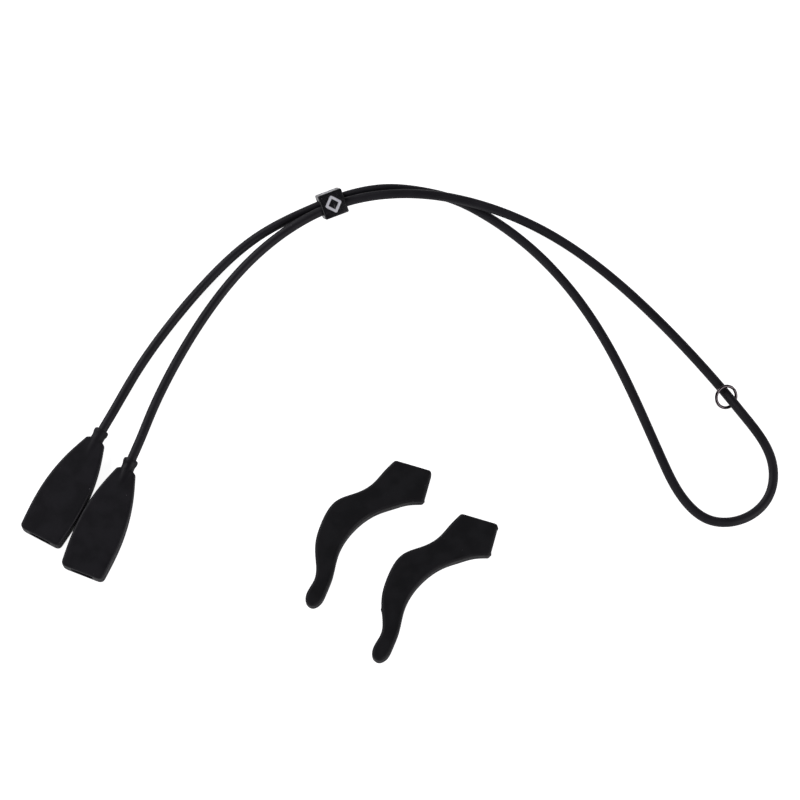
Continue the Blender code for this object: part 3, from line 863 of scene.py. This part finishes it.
def diamond_band(name, profile, unevenness=0.0):
    """A closed band round the diamond. profile holds offsets and heights, round the band's section."""
    shape = bmesh.new()
    loops = []
    for offset, height in profile:
        loop = []
        for point in diamond_loop(offset):
            place = Vector((point.x, point.y, height))
            place += noise.noise_vector(place / UNEVENNESS_SIZE) * unevenness
            loop.append(shape.verts.new(place))
        loops.append(loop)
    for loop, following in zip(loops, loops[1:] + loops[:1]):
        bridge(shape, loop, following)
    bmesh.ops.recalc_face_normals(shape, faces=shape.faces)
    return mesh_object(name, shape)


def groove_cutter(turn):
    """The cutter for one engraved diamond, with a fine chamfer where it meets the face."""
    face = BEAD_SIZE / 2
    floor, above, below_chamfer = face - MARK_DEPTH, face + CUTTER_REACH, face - MARK_CHAMFER
    outer, inner = MARK_SLACK, -MARK_STROKE - MARK_SLACK
    profile = (
        (outer + MARK_CHAMFER, above), (outer + MARK_CHAMFER, face), (outer, below_chamfer), (outer, floor),
        (inner, floor), (inner, below_chamfer), (inner - MARK_CHAMFER, face), (inner - MARK_CHAMFER, above),
    )
    cutter = diamond_band("groove_cutter", profile)
    cutter.data.transform(Matrix.Rotation(turn, 4, "X"))
    return cutter


def make_bead():
    """The adjuster bead, with its tunnel and its four engraved diamonds, in its place."""
    shape = bmesh.new()
    bmesh.ops.create_cube(shape, size=BEAD_SIZE)
    bmesh.ops.bevel(
        shape, geom=shape.edges[:], offset=BEAD_EDGE, segments=BEAD_EDGE_STEPS, profile=0.5, affect="EDGES"
    )
    bead = mesh_object("adjuster_bead", shape)
    carve(bead, trumpet("tunnel_cutter", tunnel_outline, BEAD_SIZE / 2, -BEAD_SIZE / 2, TUNNEL_LIP, True))
    for side, turn in MARK_SIDES:
        carve(bead, groove_cutter(math.radians(turn)))
    bead.data.set_sharp_from_angle(angle=SHARP_EDGE)
    bead.matrix_world = bead_place()
    mark_edges(bead, ACRYLIC_WEAR_RADIUS)
    report(bead)
    return bead


bead = make_bead()

# %% [markdown]
# The enamel is painted into the groove and wiped, so its top is a little hollow or domed and its sides
# waver. It is a band of its own round the diamond, with a rounded section instead of a square one.

# %% Enamel
ENAMEL_UNEVENNESS = 0.035 * MM
ENAMEL_OFF_FLOOR = 0.03 * MM     # between the groove's floor and the enamel
ENAMEL_CROWN = 0.015 * MM        # how far the stroke's middle stands out of the face
ENAMEL_SHOULDER = (              # in from the stroke's edge, and how far below the face
    (0.0, 0.1 * MM), (0.07 * MM, 0.03 * MM), (0.2 * MM, 0.0),
)
ENAMEL_WEAR_RADIUS = 0.3 * MM


def make_enamel(side, turn):
    """The enamel in one of the bead's grooves."""
    face = BEAD_SIZE / 2
    floor = face - MARK_DEPTH + ENAMEL_OFF_FLOOR
    profile = [(0.0, floor)]
    profile += [(-inset, face - below) for inset, below in ENAMEL_SHOULDER]
    profile.append((-MARK_STROKE / 2, face + ENAMEL_CROWN))
    profile += [(-MARK_STROKE + inset, face - below) for inset, below in reversed(ENAMEL_SHOULDER)]
    profile.append((-MARK_STROKE, floor))
    enamel = diamond_band(f"enamel_{side}", profile, ENAMEL_UNEVENNESS)
    enamel.data.transform(Matrix.Rotation(turn, 4, "X"))
    enamel.matrix_world = bead_place()
    mark_edges(enamel, ENAMEL_WEAR_RADIUS)
    return enamel


enamels = {side: make_enamel(side, math.radians(turn)) for side, turn in MARK_SIDES}
report(enamels["top"])

# %% [markdown]
# ## Jump ring
#
# A jump ring is wire, wound round a rod and cut, so it has a joint: two flat ends that meet with a hair's
# gap. A torus has none, so this is a tube along an arc that stops short of closing. Its first and last
# rings are drawn in by a tenth of a millimetre, because tumbling took the cutter's burr off the ends.

# %% Ring
RING_RADIUS = 3.46 * MM          # to the middle of the wire
WIRE_DIAMETER = 0.98 * MM
RING_JOINT = 0.2 * MM
RING_JOINT_TURN = math.radians(100)
RING_STEPS, WIRE_SIDES = 120, 20
END_ROUNDING = 0.1 * MM
WIRE_END_ANGLE = math.radians(60)        # sharper edges than this stay sharp


def make_ring():
    """The jump ring, in its place."""
    opening = RING_JOINT / RING_RADIUS
    first = RING_JOINT_TURN + opening / 2
    sweep = 2 * math.pi - opening
    turns = [first + sweep * step / RING_STEPS for step in range(RING_STEPS + 1)]
    line = np.array([(RING_RADIUS * math.cos(turn), RING_RADIUS * math.sin(turn), 0.0) for turn in turns])
    ring = tube("wire_ring", line, WIRE_DIAMETER / 2, WIRE_SIDES)
    for end in (range(WIRE_SIDES), range(WIRE_SIDES * RING_STEPS, WIRE_SIDES * (RING_STEPS + 1))):
        middle = sum((ring.data.vertices[i].co for i in end), Vector()) / WIRE_SIDES
        for i in end:
            point = ring.data.vertices[i]
            point.co = middle + (point.co - middle) * (1 - 2 * END_ROUNDING / WIRE_DIAMETER)
    ring.data.set_sharp_from_angle(angle=WIRE_END_ANGLE)
    axis = Vector(joint("ring_turn")["axis"]).normalized()
    lean = Matrix.Rotation(math.atan2(axis.y, axis.x), 4, "Z") @ Matrix.Rotation(math.acos(axis.z), 4, "Y")
    ring.matrix_world = Matrix.Translation(joint("ring_turn")["pos_m"]) @ lean
    report(ring)
    return ring


ring = make_ring()

# %% [markdown]
# ## Finishes
#
# All the rubber here is black, so what tells its parts apart is how they take the light. Three effects
# recur: the fine pits that a spark-eroded mould prints, specks of dust, which soft silicone collects at
# once, and edges that handling has rubbed smooth and pale. On the silicone that pale edge is also a
# painted highlight, a lighter colour standing in for the light that the rounded edges catch. Each is a
# node group, built once, and each material places it with values of its own. A group gives out only
# masks and heights; the Principled shader stays in the material, where its plain numbers can be read.

# %% Helpers for node trees
def add(tree, kind, inputs=(), **settings):
    """Adds a node, sets its settings, and fills its inputs with values or with links."""
    made = tree.nodes.new(kind)
    for name, value in settings.items():
        setattr(made, name, value)
    for name, value in dict(inputs).items():
        if isinstance(value, bpy.types.NodeSocket):
            tree.links.new(value, made.inputs[name])
        else:
            made.inputs[name].default_value = value
    return made


def maths(tree, operation, *values, clamp=False):
    """A Math node's result."""
    return add(tree, "ShaderNodeMath", enumerate(values), operation=operation, use_clamp=clamp).outputs[0]


def mixed(tree, share, first, second):
    """A blend of two colours."""
    mix = add(tree, "ShaderNodeMix", {0: share, 6: first, 7: second}, data_type="RGBA")
    return mix.outputs[2]


def ranged(tree, value, low, high, to_low=0.0, to_high=1.0):
    """A value moved from one range to another, with soft ends."""
    inputs = {0: value, 1: low, 2: high, 3: to_low, 4: to_high}
    return add(tree, "ShaderNodeMapRange", inputs, interpolation_type="SMOOTHSTEP").outputs[0]


def scaled(tree, vector, factors):
    """A vector times a vector."""
    return add(tree, "ShaderNodeVectorMath", {0: vector, 1: factors}, operation="MULTIPLY").outputs[0]


def by_size(tree, place, size):
    """A place in metres, counted in steps of a size in millimetres."""
    steps = maths(tree, "DIVIDE", 1000.0, size)
    return add(tree, "ShaderNodeVectorMath", {0: place, "Scale": steps}, operation="SCALE").outputs[0]


def noise_at(tree, place, detail, scale=1.0):
    """A noise texture at a place."""
    return add(tree, "ShaderNodeTexNoise", {"Vector": place, "Scale": scale, "Detail": detail}).outputs


def new_group(name, inputs, outputs):
    """An empty node group. inputs and outputs hold names and kinds; an input may have a default."""
    tree = bpy.data.node_groups.new(name, "ShaderNodeTree")
    for label, kind, *default in inputs:
        socket = tree.interface.new_socket(label, in_out="INPUT", socket_type=kind)
        if default:
            socket.default_value = default[0]
    for label, kind in outputs:
        tree.interface.new_socket(label, in_out="OUTPUT", socket_type=kind)
    return tree, tree.nodes.new("NodeGroupInput").outputs, tree.nodes.new("NodeGroupOutput").inputs


NUMBER, PLACE = "NodeSocketFloat", "NodeSocketVector"

# %% [markdown]
# Sizes in the groups are millimetres, as a maker would give them. A noise texture of scale 1 has
# features about one unit across, so the place on the piece, in metres, is multiplied by 1000 and
# divided by the size.

# %% Group: mould grain
grain_group, given, gives = new_group(
    "Mould grain",
    (("Place", PLACE), ("Pit Size", NUMBER, 0.3), ("Waviness Size", NUMBER, 4.0)),
    (("Height", NUMBER), ("Patches", NUMBER)),
)
pit_place = by_size(grain_group, given["Place"], given["Pit Size"])
pits = noise_at(grain_group, pit_place, 2.0)
cells = add(grain_group, "ShaderNodeTexVoronoi", {"Vector": pit_place, "Scale": 1.3})
waves = noise_at(grain_group, by_size(grain_group, given["Place"], given["Waviness Size"]), 3.0)
pit_height = maths(grain_group, "MULTIPLY_ADD", cells.outputs["Distance"], 0.5, pits[0])
grain_group.links.new(maths(grain_group, "MULTIPLY_ADD", waves[0], 0.6, pit_height), gives["Height"])
grain_group.links.new(ranged(grain_group, waves[0], 0.35, 0.65), gives["Patches"])
print("group:", grain_group.name)

# %% Group: dust
dust_group, given, gives = new_group(
    "Dust",
    (("Place", PLACE), ("Spacing", NUMBER, 2.5), ("Speck Size", NUMBER, 0.16), ("Share", NUMBER, 0.3)),
    (("Mask", NUMBER),),
)
RAGGEDNESS = (0.07, 0.07, 0.07)  # how far a speck's outline is bent, in steps of the spacing
speck_place = by_size(dust_group, given["Place"], given["Spacing"])
bent = noise_at(dust_group, speck_place, 1.0, 9.0)
ragged = add(
    dust_group, "ShaderNodeVectorMath", {0: bent[1], 1: RAGGEDNESS, 2: speck_place}, operation="MULTIPLY_ADD"
)
specks = add(dust_group, "ShaderNodeTexVoronoi", {"Vector": ragged.outputs[0], "Scale": 1.0})
reach = maths(dust_group, "DIVIDE", given["Speck Size"], given["Spacing"])
chosen = add(dust_group, "ShaderNodeSeparateColor", {0: specks.outputs["Color"]})
picked = maths(dust_group, "LESS_THAN", chosen.outputs[0], given["Share"])
own_reach = maths(dust_group, "MULTIPLY", reach, chosen.outputs[1])
inside = maths(dust_group, "LESS_THAN", specks.outputs["Distance"], own_reach)
dust_group.links.new(maths(dust_group, "MULTIPLY", inside, picked), gives["Mask"])
print("group:", dust_group.name)

# %% Group: rubbed edges, which on the silicone also carry a painted rim highlight
edge_group, given, gives = new_group(
    "Rubbed and highlit edges",
    (("Place", PLACE), ("Patch Size", NUMBER, 1.5), ("Amount", NUMBER, 0.8)),
    (("Mask", NUMBER),),
)
patches = noise_at(edge_group, by_size(edge_group, given["Place"], given["Patch Size"]), 3.0)
tight = add(edge_group, "ShaderNodeAttribute", attribute_name="edge")
worn_and_highlit = ranged(edge_group, tight.outputs["Fac"], 0.25, 0.85)
uneven = ranged(edge_group, patches[0], 0.25, 0.65, 0.45, 1.0)
amount = maths(edge_group, "MULTIPLY", uneven, given["Amount"])
edge_group.links.new(maths(edge_group, "MULTIPLY", worn_and_highlit, amount, clamp=True), gives["Mask"])
print("group:", edge_group.name)

# %% Group: hairline marks
hair_group, given, gives = new_group(
    "Hairlines",
    (("Place", PLACE), ("Spacing", NUMBER, 0.12), ("Length", NUMBER, 6.0)),
    (("Mask", NUMBER), ("Height", NUMBER)),
)
per_line = maths(hair_group, "DIVIDE", 1000.0, given["Spacing"])
per_length = maths(hair_group, "DIVIDE", 1000.0, given["Length"])
stretch = add(hair_group, "ShaderNodeCombineXYZ", {0: per_length, 1: per_line, 2: per_line})
line_place = scaled(hair_group, given["Place"], stretch.outputs[0])
lines = noise_at(hair_group, line_place, 2.0)
hair_group.links.new(ranged(hair_group, lines[0], 0.56, 0.72), gives["Mask"])
hair_group.links.new(lines[0], gives["Height"])
print("group:", hair_group.name)


# %% Helpers for materials
def new_material(name):
    """A material with an empty Principled shader, and the place on the piece that its textures use."""
    material = bpy.data.materials.new(name)
    material.use_nodes = True
    tree = material.node_tree
    shader = tree.nodes["Principled BSDF"]
    place = tree.nodes.new("ShaderNodeTexCoord").outputs["Object"]
    return material, tree, shader, place


def use(tree, group, **inputs):
    """Places a node group with values of its own. An underscore in a name stands for a space."""
    placed = tree.nodes.new("ShaderNodeGroup")
    placed.node_tree = group
    for name, value in inputs.items():
        socket = placed.inputs[name.replace("_", " ")]
        if isinstance(value, bpy.types.NodeSocket):
            tree.links.new(value, socket)
        else:
            socket.default_value = value
    return placed.outputs


def bumped(tree, shader, height, depth, strength=1.0):
    """Feeds a height, 0 to 1, to the shader's normal. depth is in metres."""
    bump = add(tree, "ShaderNodeBump", {"Height": height, "Distance": depth, "Strength": strength})
    tree.links.new(bump.outputs[0], shader.inputs["Normal"])


# %% [markdown]
# Silicone is nearly as matt as chalk, but it is a clear resin filled with black, so it keeps a thin
# shine at a low angle. That is why the base is almost black and the specular level is under the usual
# one. The pale bloom of soft rubber could be a sheen, but on real goods most of it is fine dust.

# %% Silicone
RUBBER_BLACK = (0.0082, 0.0075, 0.0099, 1)
RUBBER_PALE = (0.0125, 0.0115, 0.015, 1)
HOOK_BLACK = (0.0066, 0.0063, 0.0077, 1)
HOOK_PALE = (0.0098, 0.0094, 0.0114, 1)
# painted highlight on tight edges: a paler lilac grey that stands in for the light that rounded rubber edges
# catch, together with real rubbing
RUBBED_AND_RIM_HIGHLIGHT = (0.03, 0.028, 0.034, 1)
DUST = (0.11, 0.105, 0.115, 1)
RUBBER_SPECULAR = 0.24
RUBBER_GRAIN_DEPTH = 0.02 * MM


def silicone(name, dark, pale, roughness, pit_size, rubbing_and_rim_highlight, dust_share):
    """Moulded silicone: pits, pale patches, pale edges that are partly rubbed and partly a painted highlight,
    and dust.
    """
    material, tree, shader, place = new_material(name)
    grain = use(tree, grain_group, Place=place, Pit_Size=pit_size, Waviness_Size=6.0)
    rubbed_and_highlit = use(tree, edge_group, Place=place, Patch_Size=1.8, Amount=rubbing_and_rim_highlight)
    dust = use(tree, dust_group, Place=place, Spacing=1.9, Speck_Size=0.18, Share=dust_share)
    colour = mixed(tree, grain["Patches"], dark, pale)
    # pale edges: partly rubbing wear, partly a painted highlight standing in for the light on the rounded
    # rims
    colour = mixed(tree, rubbed_and_highlit["Mask"], colour, RUBBED_AND_RIM_HIGHLIGHT)
    tree.links.new(mixed(tree, dust["Mask"], colour, DUST), shader.inputs["Base Color"])
    matt = ranged(tree, grain["Patches"], 0.0, 1.0, roughness - 0.05, roughness + 0.05)
    matt = maths(tree, "MULTIPLY_ADD", rubbed_and_highlit["Mask"], -0.16, matt)
    matt = maths(tree, "MULTIPLY_ADD", dust["Mask"], 0.3, matt, clamp=True)
    tree.links.new(matt, shader.inputs["Roughness"])
    shader.inputs["Specular IOR Level"].default_value = RUBBER_SPECULAR
    bumped(tree, shader, grain["Height"], RUBBER_GRAIN_DEPTH)
    return material


socket_rubber = silicone(
    "socket silicone", RUBBER_BLACK, RUBBER_PALE, roughness=0.55, pit_size=0.28, rubbing_and_rim_highlight=0.35, dust_share=0.16
)
hook_rubber = silicone(
    "hook silicone", HOOK_BLACK, HOOK_PALE, roughness=0.58, pit_size=0.24, rubbing_and_rim_highlight=0.25, dust_share=0.12
)
print("materials:", socket_rubber.name, "and", hook_rubber.name)

# %% [markdown]
# The cord is extruded, not moulded. Its skin is smoother and has fine lines along it from the die. The
# hairlines follow the place that each point of the tube remembers, unrolled along the cord.

# %% Cord silicone
CORD_BLACK = (0.0125, 0.0115, 0.0152, 1)
CORD_PALE = (0.0185, 0.0172, 0.0218, 1)
DIE_LINE = (0.028, 0.027, 0.032, 1)

cord_rubber, tree, shader, place = new_material("cord silicone")
unrolled = add(tree, "ShaderNodeAttribute", attribute_name="unrolled").outputs["Vector"]
grain = use(tree, grain_group, Place=place, Pit_Size=0.2, Waviness_Size=9.0)
die_lines = use(tree, hair_group, Place=unrolled, Spacing=0.35, Length=30.0)
dust = use(tree, dust_group, Place=place, Spacing=2.2, Speck_Size=0.16, Share=0.15)
colour = mixed(tree, grain["Patches"], CORD_BLACK, CORD_PALE)
colour = mixed(tree, maths(tree, "MULTIPLY", die_lines["Mask"], 0.35), colour, DIE_LINE)
tree.links.new(mixed(tree, dust["Mask"], colour, DUST), shader.inputs["Base Color"])
matt = ranged(tree, die_lines["Height"], 0.3, 0.7, 0.46, 0.6)
matt = maths(tree, "MULTIPLY_ADD", dust["Mask"], 0.35, matt, clamp=True)
tree.links.new(matt, shader.inputs["Roughness"])
shader.inputs["Specular IOR Level"].default_value = RUBBER_SPECULAR
lines_and_grain = maths(tree, "MULTIPLY_ADD", grain["Height"], 0.3, die_lines["Height"])
bumped(tree, shader, lines_and_grain, RUBBER_GRAIN_DEPTH)
print("material:", cord_rubber.name)

# %% [markdown]
# Polished acrylic is black all through and takes a sharp reflection. What makes it real are fine
# wiping scratches in two directions, which show only in that reflection, and edges rubbed a little dull.

# %% Black acrylic
ACRYLIC_BLACK = (0.0016, 0.0016, 0.0021, 1)
ACRYLIC_RUBBED = (0.016, 0.015, 0.019, 1)
WIPING_TURN = 1.1                # radians between the two directions of wiping
SCRATCH_DEPTH = 0.002 * MM

acrylic, tree, shader, place = new_material("black acrylic")
wiped = use(tree, hair_group, Place=place, Spacing=0.07, Length=4.0)
turned = add(tree, "ShaderNodeVectorRotate", {"Vector": place, "Angle": WIPING_TURN}, rotation_type="Z_AXIS")
wiped_across = use(tree, hair_group, Place=turned.outputs[0], Spacing=0.09, Length=3.0)
rubbed_and_highlit = use(tree, edge_group, Place=place, Patch_Size=0.8, Amount=0.7)
dust = use(tree, dust_group, Place=place, Spacing=1.6, Speck_Size=0.16, Share=0.3)
scratches = maths(tree, "MAXIMUM", wiped["Mask"], wiped_across["Mask"])
colour = mixed(tree, rubbed_and_highlit["Mask"], ACRYLIC_BLACK, ACRYLIC_RUBBED)
tree.links.new(mixed(tree, dust["Mask"], colour, DUST), shader.inputs["Base Color"])
gloss = maths(tree, "MULTIPLY_ADD", scratches, 0.09, 0.13)
gloss = maths(tree, "MULTIPLY_ADD", rubbed_and_highlit["Mask"], 0.2, gloss, clamp=True)
tree.links.new(gloss, shader.inputs["Roughness"])
bumped(tree, shader, scratches, SCRATCH_DEPTH)
print("material:", acrylic.name)

# %% [markdown]
# The enamel holds fine aluminium powder. It is neither metal nor paint to the eye: pale, a little
# lilac, with brush marks along the stroke and a soft mottle where the powder has settled.

# %% Silver enamel
SILVER_DARK = (0.84, 0.84, 0.9, 1)
SILVER_PALE = (0.93, 0.93, 0.97, 1)
SILVER_BRUSHED = (0.97, 0.97, 1.0, 1)
SILVER_RUBBED = (0.4, 0.4, 0.46, 1)
ENAMEL_GRAIN_DEPTH = 0.03 * MM

enamel_paint, tree, shader, place = new_material("silver enamel")
mottle = use(tree, grain_group, Place=place, Pit_Size=0.1, Waviness_Size=0.9)
brush_marks = use(tree, hair_group, Place=place, Spacing=0.11, Length=1.3)
rubbed_and_highlit = use(tree, edge_group, Place=place, Patch_Size=0.5, Amount=0.8)
colour = mixed(tree, mottle["Patches"], SILVER_DARK, SILVER_PALE)
colour = mixed(tree, maths(tree, "MULTIPLY", brush_marks["Mask"], 0.5), colour, SILVER_BRUSHED)
colour = mixed(tree, maths(tree, "MULTIPLY", rubbed_and_highlit["Mask"], 0.3), colour, SILVER_RUBBED)
tree.links.new(colour, shader.inputs["Base Color"])
tree.links.new(ranged(tree, mottle["Patches"], 0.0, 1.0, 0.34, 0.52), shader.inputs["Roughness"])
shader.inputs["Metallic"].default_value = 0.05
marks_and_mottle = maths(tree, "MULTIPLY_ADD", mottle["Height"], 0.4, brush_marks["Height"])
bumped(tree, shader, marks_and_mottle, ENAMEL_GRAIN_DEPTH)
print("material:", enamel_paint.name)

# %% [markdown]
# The ring is steel wire with a dark nickel plate. Drawing the wire left lines along it, the tumbler
# took most of them off, and the plate has a warm brown cast where it is thin.

# %% Dark nickel
NICKEL_DARK = (0.055, 0.045, 0.048, 1)
NICKEL_PALE = (0.09, 0.077, 0.082, 1)
DRAWN_LINE = (0.22, 0.2, 0.205, 1)
DRAWN_DEPTH = 0.004 * MM

nickel, tree, shader, place = new_material("dark nickel")
unrolled = add(tree, "ShaderNodeAttribute", attribute_name="unrolled").outputs["Vector"]
drawn = use(tree, hair_group, Place=unrolled, Spacing=0.06, Length=3.0)
plate = use(tree, grain_group, Place=place, Pit_Size=0.12, Waviness_Size=1.4)
colour = mixed(tree, plate["Patches"], NICKEL_DARK, NICKEL_PALE)
colour = mixed(tree, maths(tree, "MULTIPLY", drawn["Mask"], 0.4), colour, DRAWN_LINE)
tree.links.new(colour, shader.inputs["Base Color"])
tree.links.new(ranged(tree, plate["Patches"], 0.0, 1.0, 0.14, 0.22), shader.inputs["Roughness"])
shader.inputs["Metallic"].default_value = 1.0
lines_and_plate = maths(tree, "MULTIPLY_ADD", plate["Height"], 0.3, drawn["Height"])
bumped(tree, shader, lines_and_plate, DRAWN_DEPTH)
print("material:", nickel.name)

# %% [markdown]
# ## Putting it together
#
# Each piece gets its finish, hides the working solid that it stands for, and rides on the body that the
# solid belongs to, so that it moves with the joints: the bead along its arc, the ring round its own
# axis and the hooks up off the table.

# %% Bodies, slots and finishes
def fit(piece, body, node, material):
    """Gives a piece its material and ties it to the working model."""
    piece.data.materials.clear()
    piece.data.materials.append(material)
    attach(piece, body)
    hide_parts(node)


fit(cord, "strap", "cord", cord_rubber)
for side in SIDES:
    fit(sockets[side], "strap", f"temple_socket_{side}", socket_rubber)
    fit(hooks[side], f"hook_{side}", f"ear_hook_{side}", hook_rubber)
fit(bead, "slider", "slider_bead", acrylic)
for side, enamel in enamels.items():
    fit(enamel, "slider", f"slider_inlay_{side}", enamel_paint)
fit(ring, "ring", "jump_ring", nickel)

# %% [markdown]
# ## Table and light
#
# Small black goods are shot on a white sheet that is lit until it is almost pure white, and the goods
# themselves are lit from the sides, never from above, or their flat tops would shine grey. A sheet that
# really glowed so brightly would outline black goods in grey. So a Light Path node tells the sheet
# who is looking: it is bright for the camera, and sends only a faint glow up under the goods.

# %% Table
TABLE_SIZE = 8.0
TABLE_BRIGHTNESS = 0.93          # of the sheet itself, as the camera sees it
TABLE_GLOW = 0.35                # of the light that it sends up under the goods
TABLE_GAP = 0.05 * MM            # so that the sheet and the flat undersides don't share a plane
SHEET_DARK = (0.86, 0.86, 0.865, 1)
SHEET_PALE = (0.88, 0.88, 0.88, 1)
FIBRE_DEPTH = 0.02 * MM

shape = bmesh.new()
bmesh.ops.create_grid(shape, x_segments=8, y_segments=8, size=TABLE_SIZE / 2)
table = mesh_object("white_sheet", shape)
table.location = (box_middle.x, box_middle.y, -TABLE_GAP)

paper, tree, shader, place = new_material("white sheet")
fibres = use(tree, grain_group, Place=place, Pit_Size=0.8, Waviness_Size=40.0)
tree.links.new(mixed(tree, fibres["Patches"], SHEET_DARK, SHEET_PALE), shader.inputs["Base Color"])
shader.inputs["Roughness"].default_value = 0.9
shader.inputs["Specular IOR Level"].default_value = 0.1
shader.inputs["Emission Color"].default_value = (1, 1, 1, 1)
seen = add(tree, "ShaderNodeLightPath").outputs["Is Camera Ray"]
brightness = ranged(tree, seen, 0.0, 1.0, TABLE_GLOW, TABLE_BRIGHTNESS)
tree.links.new(brightness, shader.inputs["Emission Strength"])
bumped(tree, shader, fibres["Height"], FIBRE_DEPTH)
table.data.materials.append(paper)

# %% Lights
ROOM_COLOUR = (0.9, 0.92, 1.0, 1)
ROOM_STRENGTH = 0.06


def soft_light(name, azimuth, elevation, distance, size, power, colour=(1, 1, 1)):
    """A square soft box that looks at the middle of the strap."""
    data = bpy.data.lights.new(name, "AREA")
    data.shape = "SQUARE"
    data.size = size
    data.energy = power
    data.color = colour
    light = bpy.data.objects.new(name, data)
    bpy.context.scene.collection.objects.link(light)
    around, up = math.radians(azimuth), math.radians(elevation)
    way = Vector((math.cos(around) * math.cos(up), math.sin(around) * math.cos(up), math.sin(up)))
    light.location = looked_at + way * distance
    light.rotation_euler = way.to_track_quat("Z", "Y").to_euler()
    return light


soft_light(
    "right_front_box", azimuth=-35, elevation=30, distance=1.1, size=0.6, power=5.0, colour=(1.0, 0.975, 1.0)
)
soft_light(
    "left_back_box", azimuth=140, elevation=32, distance=1.1, size=0.6, power=5.5, colour=(0.98, 0.97, 1.0)
)
soft_light("left_front_box", azimuth=-140, elevation=24, distance=1.3, size=0.5, power=2.0)

world = bpy.data.worlds.new("studio")
bpy.context.scene.world = world
world.use_nodes = True
room = world.node_tree.nodes["Background"].inputs
room["Color"].default_value = ROOM_COLOUR
room["Strength"].default_value = ROOM_STRENGTH
bpy.context.scene.view_settings.view_transform = "Standard"
